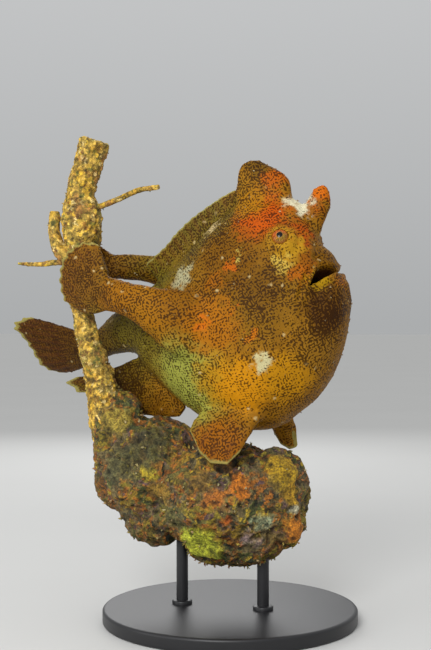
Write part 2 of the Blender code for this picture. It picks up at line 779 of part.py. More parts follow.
def main():
    clear_scene()
    model = new_collection("frogfish_model")

    trunk, eyes = make_trunk()
    body = part_trunk(trunk)
    branch = make_branch()
    knob = make_knob()
    clear_of(branch, trunk)
    clear_of(knob, trunk, branch)

    spines = (("dorsal_spine_2", SPINE_SECOND, SPINE_SECOND_LEAN), ("dorsal_spine_3", SPINE_THIRD, SPINE_THIRD_LEAN))
    for name, rows, lean in spines:
        body[name] = spine_lobe(name, rows, lean, 11, 16)
        clear_of(body[name], trunk)

    body["arm_right"] = limb("arm_right", ARM_RIGHT, 12, 16)
    body["arm_left"] = limb("arm_left", ARM_LEFT, 12, 16)
    for name in ("arm_right", "arm_left"):
        clear_of(body[name], trunk)

    fins = {}
    for made in (make_dorsal(), make_anal(), make_caudal(), *make_pelvics()):
        clear_of(made, trunk)
        fins[made.name] = made
    clear_of(fins["dorsal_fin"], body["dorsal_spine_3"], body["arm_left"])
    clear_of(fins["anal_fin"], branch, knob)
    for side in ("right", "left"):
        clear_of(fins[f"pelvic_fin_{side}"], knob)
    for hand, arm in zip(make_hands(), ("arm_right", "arm_left")):
        clear_of(hand, body[arm], branch)
        fins[hand.name] = hand

    balls = {}
    for word, (centre, _) in eyes.items():
        balls[f"eye_{word}"] = ellipsoid(f"eye_{word}", centre, (EYE_RADIUS,) * 3, 14, 9)

    lure = tube("illicium", ILLICIUM, 16, 8)
    clear_of(lure, trunk, body["dorsal_spine_2"])
    esca = make_esca()
    clear_of(esca, lure, trunk)

    base, rods = make_stand(knob)
    bpy.data.objects.remove(trunk)

    for piece in body.values():
        finished(piece, "skin", model)
    for piece in fins.values():
        finished(piece, "fin", model)
    for piece in balls.values():
        finished(piece, "eye", model)
    for piece in (lure, esca):
        finished(piece, "lure", model)
    finished(branch, "branch", model)
    finished(knob, "knob", model)
    for piece in (base, *rods):
        finished(piece, "stand", model)


main()
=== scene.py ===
import math

import bmesh
import bpy
import numpy as np
from mathutils import Matrix, Vector, kdtree, noise
from mathutils.bvhtree import BVHTree


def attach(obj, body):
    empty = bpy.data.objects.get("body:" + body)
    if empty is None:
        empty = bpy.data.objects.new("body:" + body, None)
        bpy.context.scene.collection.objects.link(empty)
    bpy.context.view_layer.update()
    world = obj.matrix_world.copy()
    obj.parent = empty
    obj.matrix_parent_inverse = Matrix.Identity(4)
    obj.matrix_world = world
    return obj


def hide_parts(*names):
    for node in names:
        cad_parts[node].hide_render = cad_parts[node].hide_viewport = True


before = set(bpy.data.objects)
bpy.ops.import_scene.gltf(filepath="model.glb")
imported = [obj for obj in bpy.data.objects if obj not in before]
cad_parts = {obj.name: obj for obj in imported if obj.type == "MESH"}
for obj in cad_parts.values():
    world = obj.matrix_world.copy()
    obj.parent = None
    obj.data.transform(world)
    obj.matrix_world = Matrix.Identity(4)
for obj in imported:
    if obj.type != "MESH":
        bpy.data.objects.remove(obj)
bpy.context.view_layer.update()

# Camera: a short telephoto lens a metre away, level with the fish and 18 degrees ahead of
# square to its side, as in the photograph.
camera = bpy.data.objects.new("camera", bpy.data.cameras.new("camera"))
camera.data.lens = 65.16
camera.location = (0.2973, -0.9549, 0.25075)
camera.rotation_euler = (math.radians(90), 0, math.radians(18))
bpy.context.scene.collection.objects.link(camera)
bpy.context.scene.camera = camera


# Stand: a round steel foot plate, turned and powder-coated black, with two rods screwed into
# it that carry the perch from below. It stands on the plate's flat underside.
MM = 0.001


def hex_colour(text):
    """The linear colour of an sRGB hex value."""
    values = [int(text[i : i + 2], 16) / 255 for i in (1, 3, 5)]
    return tuple(v / 12.92 if v <= 0.04045 else ((v + 0.055) / 1.055) ** 2.4 for v in values) + (1.0,)


def node(tree, kind, inputs=None, **settings):
    """A node added to tree, each of its inputs given a value or a link."""
    made = tree.nodes.new(kind)
    for key, value in settings.items():
        setattr(made, key, value)
    for key, value in (inputs or {}).items():
        if isinstance(value, bpy.types.NodeSocket):
            tree.links.new(value, made.inputs[key])
        else:
            made.inputs[key].default_value = value
    return made


def new_material(name, **sockets):
    """A material with plain values on its shader's own sockets, and its node tree and shader."""
    material = bpy.data.materials.new(name)
    material.use_nodes = True
    shader = material.node_tree.nodes["Principled BSDF"]
    for key, value in sockets.items():
        shader.inputs[key.replace("_", " ")].default_value = value
    return material, material.node_tree, shader


def lofted(rings):
    """Points and faces of a closed solid through rings, fanned to the middle at both ends."""
    rings = np.array(rings, float)
    count, sides = rings.shape[:2]
    points = np.concatenate([rings.reshape(-1, 3), rings[[0, -1]].mean(axis=1)])
    faces = []
    for j in range(count - 1):
        for k in range(sides):
            n = (k + 1) % sides
            faces.append((j * sides + k, j * sides + n, (j + 1) * sides + n, (j + 1) * sides + k))
    for ring, middle in ((0, count * sides), (count - 1, count * sides + 1)):
        for k in range(sides):
            faces.append((ring * sides + k, ring * sides + (k + 1) % sides, middle))
    return points, faces


def turned(profile, centre=(0, 0), sides=96):
    """Points and faces of a solid turned about an upright axis from radii and heights."""
    angles = np.linspace(0, 2 * np.pi, sides, endpoint=False)
    rings = []
    for radius, height in profile:
        x, y = centre[0] + radius * np.cos(angles), centre[1] + radius * np.sin(angles)
        rings.append(np.stack([x, y, np.full(sides, float(height))], 1))
    return lofted(rings)


def object_of(name, shapes, scale=1.0):
    """One mesh object of the shapes, with their faces turned outwards."""
    points, faces, base = [], [], 0
    for shape_points, shape_faces in shapes:
        points.append(shape_points)
        faces += [tuple(i + base for i in face) for face in shape_faces]
        base += len(shape_points)
    mesh = bpy.data.meshes.new(name)
    mesh.from_pydata((np.concatenate(points) * scale).tolist(), [], faces)
    bm = bmesh.new()
    bm.from_mesh(mesh)
    bmesh.ops.recalc_face_normals(bm, faces=bm.faces)
    bm.to_mesh(mesh)
    bm.free()
    made = bpy.data.objects.new(name, mesh)
    bpy.context.scene.collection.objects.link(made)
    return made


def dressed(target, material):
    """target painted, shaded smooth and riding with the model."""
    target.data.materials.clear()
    target.data.materials.append(material)
    target.data.shade_smooth()
    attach(target, "root")


PLATE = [
    (3, 0), (60, 0), (104.5, 0), (106, 0), (107.2, 0.5), (107.9, 1.4), (108, 2.6),
    (108, 9.4), (107.9, 10.6), (107.2, 11.5), (106, 12), (104.5, 12), (60, 12), (3, 12),
]
ROD_RADIUS = 5.0
ROD_FOOT = 12.0
RODS = {"stand_rod_front": (30, -3, 68), "stand_rod_rear": (-42, -3, 84)}
COLLAR = [(2, 11.6), (8.6, 11.6), (8.6, 14.2), (8.3, 14.9), (7.6, 15.2), (6, 15.3), (2, 15.3)]

# Powder coat on steel: black, satin, with the faint orange peel the melted powder leaves.
powder_coat, tree, shader = new_material("powder_coated_steel", Metallic=0.0, Roughness=0.42)
place = node(tree, "ShaderNodeTexCoord").outputs["Object"]
peel = node(tree, "ShaderNodeTexNoise", {"Vector": place, "Scale": 1100.0, "Detail": 1.0})
cloud = node(tree, "ShaderNodeTexNoise", {"Vector": place, "Scale": 30.0, "Detail": 2.0})
tone = node(
    tree,
    "ShaderNodeMix",
    {0: cloud.outputs[0], 6: hex_colour("#131315"), 7: hex_colour("#1d1d20")},
    data_type="RGBA",
)
grain = node(tree, "ShaderNodeBump", {"Height": peel.outputs[0], "Distance": 0.00006, "Strength": 0.7})
tree.links.new(tone.outputs[2], shader.inputs["Base Color"])
tree.links.new(grain.outputs[0], shader.inputs["Normal"])

plate = object_of("foot_plate", [turned(PLATE, sides=160)], MM)
dressed(plate, powder_coat)
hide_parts("stand_base")
for name, (x, y, top) in RODS.items():
    rod = [(2, ROD_FOOT - 1), (ROD_RADIUS, ROD_FOOT - 1), (ROD_RADIUS, top), (2, top)]
    rod = object_of(name + "_bar", [turned(rod, (x, y), 48), turned(COLLAR, (x, y), 48)], MM)
    rod_edges = rod.modifiers.new("edges", "EDGE_SPLIT")
    rod_edges.split_angle = math.radians(50)
    dressed(rod, powder_coat)
    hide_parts(name)


# Knob: the foot of the branch, swollen into a lump by years of sponge, coral and algal crust.
# The growth is lumpy at every scale, pitted, and patched yellow, rust, olive, grey and pink.
KNOB_LUMPS = [
    ((-71, -2, 125), (50, 42, 46)),
    ((-6, -4, 106), (62, 48, 46)),
    ((42, -2, 110), (24, 34, 38)),
    ((-99, -4, 156), (24, 22, 38)),
    ((6, -3, 73), (48, 32, 24)),
    ((-61, -8, 90), (30, 30, 26)),
    ((49, -6, 83), (18, 20, 16)),
]
KNOB_VOXEL = 0.98
KNOB_ROUGH = 5.0
KNOB_GRAIN = 26.0


def ellipsoid(centre, radii, u=48, v=32):
    """Points and faces of an ellipsoid."""
    angles = np.linspace(0, 2 * np.pi, u, endpoint=False)
    rings = []
    for lift in np.linspace(-np.pi / 2, np.pi / 2, v + 2)[1:-1]:
        flat = np.cos(lift)
        ring = np.stack([np.cos(angles) * flat, np.sin(angles) * flat, np.full(u, np.sin(lift))], 1)
        rings.append(ring * radii + centre)
    points, faces = lofted(rings)
    points[-2:] = np.array(centre) + [[0, 0, -radii[2]], [0, 0, radii[2]]]
    return points, faces


def baked(target):
    """target's modifiers are applied to its mesh."""
    graph = bpy.context.evaluated_depsgraph_get()
    mesh = bpy.data.meshes.new_from_object(target.evaluated_get(graph))
    target.modifiers.clear()
    target.data = mesh


def grown_together(target, voxel):
    """target's overlapping shapes melt into one closed surface."""
    melt = target.modifiers.new("melt", "REMESH")
    melt.mode = "VOXEL"
    melt.voxel_size = voxel
    baked(target)


def points_of(mesh):
    points = np.empty(len(mesh.vertices) * 3, np.float32)
    mesh.vertices.foreach_get("co", points)
    return points.reshape(-1, 3).astype(float)


def normals_of(mesh):
    normals = np.empty(len(mesh.vertices) * 3, np.float32)
    mesh.vertex_normals.foreach_get("vector", normals)
    return normals.reshape(-1, 3).astype(float)


def moved(mesh, points):
    mesh.vertices.foreach_set("co", points.astype(np.float32).ravel())
    mesh.update()


def relaxed(mesh, rounds, share=1.0):
    """Each point drawn towards the middle of its neighbours, by a share that may vary."""
    ends = np.empty(len(mesh.edges) * 2, np.int32)
    mesh.edges.foreach_get("vertices", ends)
    a, b = ends.reshape(-1, 2).T
    points = points_of(mesh)
    count = len(points)
    uses = (np.bincount(a, minlength=count) + np.bincount(b, minlength=count))[:, None]
    share = np.broadcast_to(share, count)[:, None]
    for _ in range(rounds):
        total = [
            np.bincount(a, points[b, i], count) + np.bincount(b, points[a, i], count) for i in range(3)
        ]
        points += 0.5 * share * (np.stack(total, 1) / uses - points)
    moved(mesh, points)


def rough_at(points, grain, shift=(0, 0, 0)):
    """Smooth noise from about -1 to 1 at each point, its lumps about as wide as grain."""
    return np.array([noise.noise(Vector(p)) for p in points / grain + np.array(shift)])


def cells_at(points, size):
    """How far each point is from the middle of its cell, 0 at the middle and about 1 at the rim."""
    return np.array([noise.voronoi(Vector(p))[0][0] for p in points / size])


def kept(mesh, name, values):
    """One number a point, kept in the mesh for the material."""
    mesh.attributes.new(name, "FLOAT", "POINT").data.foreach_set("value", values.astype(np.float32))


# Rounded sponges that stand proud of the crust: centre, reach and height.
SPONGES = [
    ((-15, -35, 72), 19, 3.5),
    ((55, -27, 133), 17, 2.5),
    ((22, -44, 118), 11, 2.2),
    ((2, -46, 108), 13, 2.0),
    ((62, -20, 83), 12, 2.0),
    ((-58, -40, 128), 12, 2.0),
    ((38, -36, 88), 11, 2.0),
    ((-20, 38, 110), 18, 3.0),
    ((30, 34, 96), 14, 2.5),
]

knob = object_of("knob_crust", [ellipsoid(centre, radii) for centre, radii in KNOB_LUMPS])
grown_together(knob, KNOB_VOXEL)
relaxed(knob.data, 60)
spots, outward = points_of(knob.data), normals_of(knob.data)
shift = (11, 25.3, -18.7)
coarse = (
    rough_at(spots, KNOB_GRAIN, shift) + 0.5 * rough_at(spots, KNOB_GRAIN / 2.3, np.array(shift) * 2.3)
)
billow = 0.5 - np.abs(rough_at(spots, 10.5, (3, 7, 1))) * 2
crumb = 0.5 - np.abs(rough_at(spots, 4.2, (9, 2, 5))) * 2
fine = rough_at(spots, 1.9)
pits = np.clip(1 - cells_at(spots, 9.0) / 0.32, 0, 1) * (rough_at(spots, 24.0, (5, 5, 5)) > -0.05)
swell = np.zeros(len(spots))
smooth_there = np.zeros(len(spots))
for centre, reach, height in SPONGES:
    off = np.linalg.norm(spots - centre, axis=1) / reach + 0.25 * coarse
    swell += height * np.sqrt(np.clip(1 - off**2, 0, 1))
    smooth_there = np.maximum(smooth_there, np.clip((1 - off) * 4, 0, 1))
calm = 1 - 0.6 * smooth_there
push = KNOB_ROUGH * coarse + swell + calm * (2.4 * billow + 1.1 * crumb + 0.35 * fine - 3.0 * pits)
moved(knob.data, spots + outward * push[:, None])
relaxed(knob.data, 1)
# Painted shade and highlight: darker down in the pits, lighter on the crests.
kept(knob.data, "depth", np.clip(0.5 + 0.3 * billow + 0.3 * crumb - 0.7 * pits, 0, 1))
knob.data.transform(Matrix.Scale(MM, 4))


def patch(tree, below, place, centre, reach, colour, soft=0.3, share=1.0):
    """The colour below with one more patch laid over it: a blot round centre with a wandering rim."""
    off = node(
        tree, "ShaderNodeVectorMath", {0: place, 1: tuple(v * MM for v in centre)}, operation="DISTANCE"
    )
    cover = node(
        tree,
        "ShaderNodeMapRange",
        {0: off.outputs["Value"], 1: reach * MM * (1 + soft), 2: reach * MM * (1 - soft), 4: share},
        interpolation_type="SMOOTHSTEP",
    )
    return node(
        tree, "ShaderNodeMix", {0: cover.outputs[0], 6: below, 7: hex_colour(colour)}, data_type="RGBA"
    ).outputs[2]


# Living crust: chalky and rough, without shine, in a patchwork of growths a few millimetres to
# a few centimetres wide, with painted shade down in the pits and a painted highlight on the crests.
crust, tree, shader = new_material("encrusting_growth", Roughness=0.85)
place = node(tree, "ShaderNodeTexCoord").outputs["Object"]
stir = node(tree, "ShaderNodeTexNoise", {"Vector": place, "Scale": 90.0, "Detail": 4.0})
push = node(
    tree, "ShaderNodeVectorMath", {0: stir.outputs["Color"], 1: (0.5, 0.5, 0.5)}, operation="SUBTRACT"
)
wander = node(tree, "ShaderNodeVectorMath", {0: push.outputs[0], "Scale": 0.022}, operation="SCALE")
drawn = node(tree, "ShaderNodeVectorMath", {0: place, 1: wander.outputs[0]}, operation="ADD").outputs[0]
broad = node(tree, "ShaderNodeTexVoronoi", {"Vector": drawn, "Scale": 62.0})
broad_pick = node(tree, "ShaderNodeSeparateColor", {0: broad.outputs["Color"]})
growths = node(tree, "ShaderNodeValToRGB", {0: broad_pick.outputs[0]})
growths.color_ramp.interpolation = "CONSTANT"
GROWTHS = [
    "#66561e", "#857420", "#464a20", "#8f7220", "#6a5c38", "#343620", "#7c6c34", "#6a4a1e", "#747634"
]
for index, colour in enumerate(GROWTHS):
    stop = growths.color_ramp.elements[index] if index < 2 else growths.color_ramp.elements.new(0.5)
    stop.position = index / len(GROWTHS)
    stop.color = hex_colour(colour)
small = node(tree, "ShaderNodeTexVoronoi", {"Vector": drawn, "Scale": 210.0})
small_pick = node(tree, "ShaderNodeSeparateColor", {0: small.outputs["Color"]})
specks = node(tree, "ShaderNodeValToRGB", {0: small_pick.outputs[0]})
specks.color_ramp.interpolation = "CONSTANT"
SPECKS = [
    "#42381a", "#a88c24", "#66602e", "#262a1c", "#9a5e1c", "#8c8058", "#565a2c", "#664a46", "#ded4a6"
]
for index, colour in enumerate(SPECKS):
    stop = specks.color_ramp.elements[index] if index < 2 else specks.color_ramp.elements.new(0.5)
    stop.position = index / len(SPECKS)
    stop.color = hex_colour(colour)
some = node(tree, "ShaderNodeTexNoise", {"Vector": place, "Scale": 160.0, "Detail": 3.0})
where = node(tree, "ShaderNodeMapRange", {0: some.outputs[0], 1: 0.42, 2: 0.58, 4: 0.95})
colour = node(
    tree,
    "ShaderNodeMix",
    {0: where.outputs[0], 6: growths.outputs[0], 7: specks.outputs[0]},
    data_type="RGBA",
).outputs[2]
CRUST_PATCHES = [
    ((-15, -35, 72), 17, "#c6cb38"),
    ((55, -27, 133), 15, "#b08c14"),
    ((60, -24, 112), 9, "#aa841a"),
    ((22, -44, 119), 9, "#cc7412"),
    ((2, -46, 108), 11, "#b4681a"),
    ((12, -45, 96), 6, "#bc5e14"),
    ((62, -20, 83), 10, "#c87818"),
    ((-58, -40, 128), 8, "#b09a20"),
    ((40, -38, 90), 8, "#9aa27c"),
    ((30, -40, 76), 9, "#8a7470"),
    ((60, -20, 100), 6, "#c9c2a0"),
    ((-88, -34, 128), 12, "#5c5840"),
    ((-82, -38, 132), 16, "#5a5630"),
    ((-60, -36, 150), 18, "#4a4826"),
    ((-96, -24, 168), 13, "#a08a34"),
    ((-48, -44, 112), 10, "#8a6a20"),
    ((-34, -42, 92), 14, "#5c5a34"),
    ((-12, -46, 122), 10, "#7c5e24"),
    ((46, -30, 76), 9, "#6e5a2a"),
    ((-20, 38, 110), 17, "#a08a34"),
    ((30, 34, 96), 13, "#b06a2c"),
    # Painted shade: a near-black patch where the crust lies under the fish, beside the right pelvic fin.
    ((42, -14, 166), 15, "#2c2212"),
]
for centre, reach, shade in CRUST_PATCHES:
    colour = patch(tree, colour, drawn, centre, reach, shade, 0.35, 0.85)
mottle = node(
    tree, "ShaderNodeTexNoise", {"Vector": place, "Scale": 620.0, "Detail": 3.0, "Roughness": 0.65}
)
mottle = node(tree, "ShaderNodeMapRange", {0: mottle.outputs[0], 1: 0.34, 2: 0.66, 3: 0.35, 4: 1.65})
# Painted shade in the pits and painted highlight on the crests, times the random mottle.
depth = node(tree, "ShaderNodeAttribute", attribute_name="depth")
depth = node(tree, "ShaderNodeMapRange", {0: depth.outputs["Fac"], 1: 0.1, 2: 0.9, 3: 0.2, 4: 1.3})
mottle_and_painted_shade = node(tree, "ShaderNodeMath", {0: mottle.outputs[0], 1: depth.outputs[0]}, operation="MULTIPLY")
shaded = node(tree, "ShaderNodeVectorMath", {0: colour, "Scale": mottle_and_painted_shade.outputs[0]}, operation="SCALE")
tree.links.new(shaded.outputs[0], shader.inputs["Base Color"])
nubs = node(tree, "ShaderNodeTexVoronoi", {"Vector": place, "Scale": 520.0})
grit = node(tree, "ShaderNodeTexNoise", {"Vector": place, "Scale": 1300.0, "Detail": 3.0})
height = node(
    tree,
    "ShaderNodeMath",
    {0: nubs.outputs["Distance"], 1: -0.9, 2: grit.outputs[0]},
    operation="MULTIPLY_ADD",
)
bump = node(tree, "ShaderNodeBump", {"Height": height.outputs[0], "Distance": 0.0009, "Strength": 0.8})
tree.links.new(bump.outputs[0], shader.inputs["Normal"])
dressed(knob, crust)
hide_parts("perch_knob")


# Branch: a dead sea-fan stem, thumb-thick, crooked, and sleeved in small crusting polyps that
# leave it beaded with pale yellow bumps. Three dead twigs still stand on it.
BRANCH = [
    (-121, -8, 412, 13), (-129, -8, 388, 12.6), (-135, -8, 368, 12.4), (-134, -8, 343, 17.5),
    (-133.5, -8, 322, 15.5), (-136, -8, 294, 11.5), (-131, -8, 252, 9.6), (-125, -8, 230, 10.4),
    (-119, -7, 210, 12.3), (-114, -6, 188, 14), (-109, -5, 166, 17), (-100, -4, 143, 19),
]
TWIGS = [
    ([(-123, -8, 352), (-101, -6, 360), (-82, -2, 368), (-64, 0, 370.5)], 2.8, 2.2),
    ([(-136, -8, 307), (-155, -10, 306), (-177, -12, 304.5), (-194, -12, 305.5)], 3.6, 1.4),
    ([(-136, -10, 308), (-150, -12, 313), (-158, -12, 330), (-158, -12, 351)], 7.5, 4.6),
]
BRANCH_VOXEL = 0.7


def smooth_rows(rows, count):
    """Rows read off at even steps along one smooth curve through the given rows."""
    rows = np.array(rows, float)
    knots = np.concatenate([[0.0], np.cumsum(np.linalg.norm(np.diff(rows, axis=0), axis=1))])
    slopes = np.gradient(rows, knots, axis=0)
    at = np.linspace(0.0, knots[-1], count)
    left = np.clip(np.searchsorted(knots, at, side="right") - 1, 0, len(rows) - 2)
    width = (knots[left + 1] - knots[left])[:, None]
    s = (at - knots[left])[:, None] / width
    return (
        (2 * s**3 - 3 * s**2 + 1) * rows[left]
        + (s**3 - 2 * s**2 + s) * width * slopes[left]
        + (3 * s**2 - 2 * s**3) * rows[left + 1]
        + (s**3 - s**2) * width * slopes[left + 1]
    )


def egg_ring(centre, up, side, half_width, low, sides):
    """A section round centre: up is its half height, and low widens its lower half."""
    a = 2 * np.pi * np.arange(sides)[:, None] / sides
    out = np.sin(a) * (1 - low * np.cos(a)) * half_width
    return np.array(centre) + np.array(up) * np.cos(a) + np.array(side) * out


def limb(rows, rings, sides, turn_up=(0, 0, 1)):
    """Points and faces of a limb through rows of x, y, z, half height and half thickness."""
    rows = smooth_rows(rows, rings)
    headings = np.gradient(rows[:, :3], axis=0)
    made = []
    for row, heading in zip(rows, headings):
        along = Vector(heading).normalized()
        side = Vector(turn_up).cross(along).normalized()
        up = along.cross(side).normalized()
        made.append(egg_ring(row[:3], up * row[3], side, row[4], 0.0, sides))
    return lofted(made)


def tube(rows, rings, sides, turn_up=(0.13, 1, 0.21)):
    """Points and faces of a round stalk through rows of x, y, z and radius."""
    return limb([(x, y, z, r, r) for x, y, z, r in rows], rings, sides, Vector(turn_up).normalized())


stems = [tube(BRANCH, 200, 48)]
for way, thick, thin in TWIGS:
    radii = np.linspace(thick, thin, len(way))
    stems.append(tube([(*spot, radius) for spot, radius in zip(way, radii)], 60, 24))
branch = object_of("branch_crust", stems)
grown_together(branch, BRANCH_VOXEL)
relaxed(branch.data, 6)
spots, outward = points_of(branch.data), normals_of(branch.data)
shift = np.array((4, 9.2, -6.8))
coarse = rough_at(spots, 9.0, shift) + 0.5 * rough_at(spots, 9.0 / 2.3, shift * 2.3)
beads = np.clip(1 - (cells_at(spots, 3.4) / 0.55) ** 2, 0, 1)
pits = np.clip(1 - cells_at(spots + 50, 6.5) / 0.3, 0, 1)
fine = rough_at(spots, 1.7)
stem = smooth_rows(BRANCH, 120)
thin = np.array([np.min(np.linalg.norm(stem[:, :3] - p, axis=1) - stem[:, 3]) for p in spots])
on_stem = np.clip(1 - thin / 4, 0.25, 1)
push = on_stem * (1.6 * coarse + 0.9 * beads - 1.3 * pits + 0.3 * fine)
moved(branch.data, spots + outward * push[:, None])
relaxed(branch.data, 1)
# Painted shade and highlight: darker in the pits and between beads, lighter on the beads.
kept(branch.data, "depth", np.clip(0.45 + 0.45 * beads - 0.8 * pits + 0.2 * coarse, 0, 1))
branch.data.transform(Matrix.Scale(MM, 4))

# Polyp crust on the stem: dry-looking, pale straw to yellow, with painted shade between the beads and in
# pits.
polyp_crust, tree, shader = new_material("polyp_crust", Roughness=0.85)
place = node(tree, "ShaderNodeTexCoord").outputs["Object"]
broad = node(tree, "ShaderNodeTexNoise", {"Vector": place, "Scale": 55.0, "Detail": 3.0})
tone = node(tree, "ShaderNodeValToRGB", {0: broad.outputs[0]})
TONES = [(0.32, "#6f5c20"), (0.42, "#bb902a"), (0.5, "#dcb44e"), (0.57, "#8f7930"), (0.68, "#b6823c")]
for index, (spot, shade) in enumerate(TONES):
    stop = tone.color_ramp.elements[index] if index < 2 else tone.color_ramp.elements.new(spot)
    stop.position = spot
    stop.color = hex_colour(shade)
stir = node(tree, "ShaderNodeTexNoise", {"Vector": place, "Scale": 450.0, "Detail": 3.0})
push = node(
    tree, "ShaderNodeVectorMath", {0: stir.outputs["Color"], 1: (0.5, 0.5, 0.5)}, operation="SUBTRACT"
)
wander = node(tree, "ShaderNodeVectorMath", {0: push.outputs[0], "Scale": 0.007}, operation="SCALE")
drawn = node(tree, "ShaderNodeVectorMath", {0: place, 1: wander.outputs[0]}, operation="ADD").outputs[0]
beads = node(tree, "ShaderNodeTexVoronoi", {"Vector": drawn, "Scale": 300.0})
pick = node(tree, "ShaderNodeSeparateColor", {0: beads.outputs["Color"]})
specks = node(tree, "ShaderNodeValToRGB", {0: pick.outputs[0]})
specks.color_ramp.interpolation = "CONSTANT"
BEADS = [
    (0.0, "#3c2e12"), (0.25, "#d8ae2c"), (0.45, "#967c28"), (0.6, "#ead088"), (0.7, "#6e3e1c"),
    (0.85, "#68702c"),
]
for index, (spot, shade) in enumerate(BEADS):
    stop = specks.color_ramp.elements[index] if index < 2 else specks.color_ramp.elements.new(spot)
    stop.position = spot
    stop.color = hex_colour(shade)
where = node(tree, "ShaderNodeMapRange", {0: pick.outputs[1], 1: 0.35, 2: 0.7, 4: 0.65})
tone = node(
    tree,
    "ShaderNodeMix",
    {0: where.outputs[0], 6: tone.outputs[0], 7: specks.outputs[0]},
    data_type="RGBA",
)
mottle = node(
    tree, "ShaderNodeTexNoise", {"Vector": place, "Scale": 300.0, "Detail": 5.0, "Roughness": 0.75}
)
mottle = node(tree, "ShaderNodeMapRange", {0: mottle.outputs[0], 1: 0.36, 2: 0.64, 3: 0.28, 4: 1.45})
# Painted shade between the beads and in the pits, painted highlight on the beads, times the random
# mottle.
depth = node(tree, "ShaderNodeAttribute", attribute_name="depth")
depth = node(tree, "ShaderNodeMapRange", {0: depth.outputs["Fac"], 1: 0.0, 2: 0.9, 3: 0.4, 4: 1.3})
mottle_and_painted_shade = node(tree, "ShaderNodeMath", {0: mottle.outputs[0], 1: depth.outputs[0]}, operation="MULTIPLY")
shaded = node(
    tree, "ShaderNodeVectorMath", {0: tone.outputs[2], "Scale": mottle_and_painted_shade.outputs[0]}, operation="SCALE"
)
tree.links.new(shaded.outputs[0], shader.inputs["Base Color"])
grit = node(tree, "ShaderNodeTexNoise", {"Vector": place, "Scale": 1100.0, "Detail": 3.0})
bump = node(tree, "ShaderNodeBump", {"Height": grit.outputs[0], "Distance": 0.0006, "Strength": 0.7})
tree.links.new(bump.outputs[0], shader.inputs["Normal"])
dressed(branch, polyp_crust)
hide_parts("perch_branch")


# Body of the fish: a deep, flabby trunk with an upturned mouth, two arms that end in hands, the
# second and third dorsal spines as fleshy lobes, and rayed fins, all in one loose skin.
TRUNK = [
    (-139, 243, -141, 218, 34, 7), (-115, 262, -114, 225, 26, 12), (-79, 282, -89, 225, 16, 18),
    (-50, 302, -66, 205, 8, 28), (-25, 325, -40, 184, 3, 39), (-2, 345, -13, 168, 0, 47),
    (22, 356, 17, 162, 0, 51), (44, 357, 43, 166, 0, 50), (61, 352.5, 62, 179, 0, 46),
    (74, 335, 78, 194, 0, 40), (78, 319.5, 90, 213, 0, 33), (84.5, 313.5, 97.5, 235, 0, 27),
    (89.5, 308, 101.5, 257, 0, 21), (92.5, 300, 102.5, 273, 0, 15), (94, 294.5, 101.5, 283, 0, 8),
    (96.5, 291, 100.5, 286, 0, 3.5),
]
BELLY_SHARE = 0.20
SPINE_SECOND = [
    (65, 333, 15, 10), (71, 342.3, 12, 8.8), (75, 347.5, 10.3, 7.8), (78.2, 353.6, 9.5, 7.1),
    (80, 359.3, 7.7, 5.8), (81.4, 363, 5.1, 4.0), (82.5, 365.6, 1.8, 1.5),
]
SPINE_THIRD = [
    (32, 348, 29, 14), (30, 358, 25.5, 12), (30, 367, 23.4, 9.8), (29.2, 375, 21.7, 8.4),
    (26, 381.5, 17, 7), (23, 386, 10.5, 5), (21.5, 389, 4, 2.4),
]
ARM_RIGHT = [
    (-4, -28, 250, 34, 14), (-21, -39, 251, 30, 14), (-41, -47, 259, 22, 12),
    (-62, -49, 268, 15.5, 10.5), (-84, -43, 274.5, 13.5, 9), (-99, -35, 277.5, 15, 6.5),
]
ARM_LEFT = [
    (-18, 30, 268, 26, 12), (-37, 41, 279, 22, 12), (-60, 46, 295, 16, 10.5),
    (-84, 42, 300.5, 12.5, 9), (-104, 30, 303, 11, 8), (-114.5, 21, 303.5, 11.5, 6),
]
GAPE_ROOT = Vector((64, 0, 272.3))
GAPE_PITCH = math.radians(36)
GAPE_HALF_ANGLE = math.radians(70)
GAPE_ARCH = 10.5
GAPE_SLIT = 0.7
GAPE_STEPS = 56
LIP_RADIUS = 3.4
EYE_SPOT = (53.0, 320.0)
EYE_RADIUS = 7.2
EYE_STANDS_OUT = 5.7
NOSTRILS = [(70.0, 315.0, 2.0), (79.5, 307.5, 1.7)]
GILL_PORE = (-68.0, 236.0, 4.2)
SKIN_VOXEL = 0.75
SKIN_TRIANGLES = 190000


def trunk_shape(rings, sides):
    rows = smooth_rows(TRUNK, rings)
    centres = np.stack([(rows[:, 0] + rows[:, 2]) / 2, rows[:, 4], (rows[:, 1] + rows[:, 3]) / 2], 1)
    headings = np.gradient(centres, axis=0)
    made = []
    for row, centre, heading in zip(rows, centres, headings):
        up = np.array((row[0] - row[2], 0, row[1] - row[3])) / 2
        side = Vector((-heading[1], max(heading[0], 0.1), 0)).normalized()
        made.append(egg_ring(centre, up, side, row[5], BELLY_SHARE, sides))
    return lofted(made)


def spine_lobe(rows, lean, rings, sides):
    """Points and faces of a fleshy lobe on the midline."""
    across = np.array((math.cos(lean), 0, math.sin(lean)))
    made = []
    for x, z, length, thickness in smooth_rows(rows, rings):
        made.append(egg_ring((x, 0, z), across * length, (0, 1, 0), thickness, 0.0, sides))
    return lofted(made)


def set_on(shape, spot, out):
    """A shape drawn round the origin, moved to spot with its +Z along out."""
    turn = np.array(Vector(out).to_track_quat("Z", "Y").to_matrix())
    return shape[0] @ turn.T + np.array(spot), shape[1]


def surface_tree(points, faces):
    return BVHTree.FromPolygons([Vector(p) for p in points], faces)


def hit_from_side(tree, x, z, side):
    spot, out, _, _ = tree.ray_cast(Vector((x, side * 400, z)), Vector((0, -side, 0)))
    return spot, out


def gape_lifts(share):
    """How far the open mouth's upper and lower edges lie from the plane of the jaws.

    share is 0 at the front and 1 at a corner. The upper lip arches at the sides.
    """
    close = math.sqrt(max(0.0, 1 - share**4))
    arch = GAPE_ARCH * max(0.0, math.sin(math.pi * share**1.2)) ** 1.5
    return (GAPE_SLIT + arch) * close, -GAPE_SLIT * close


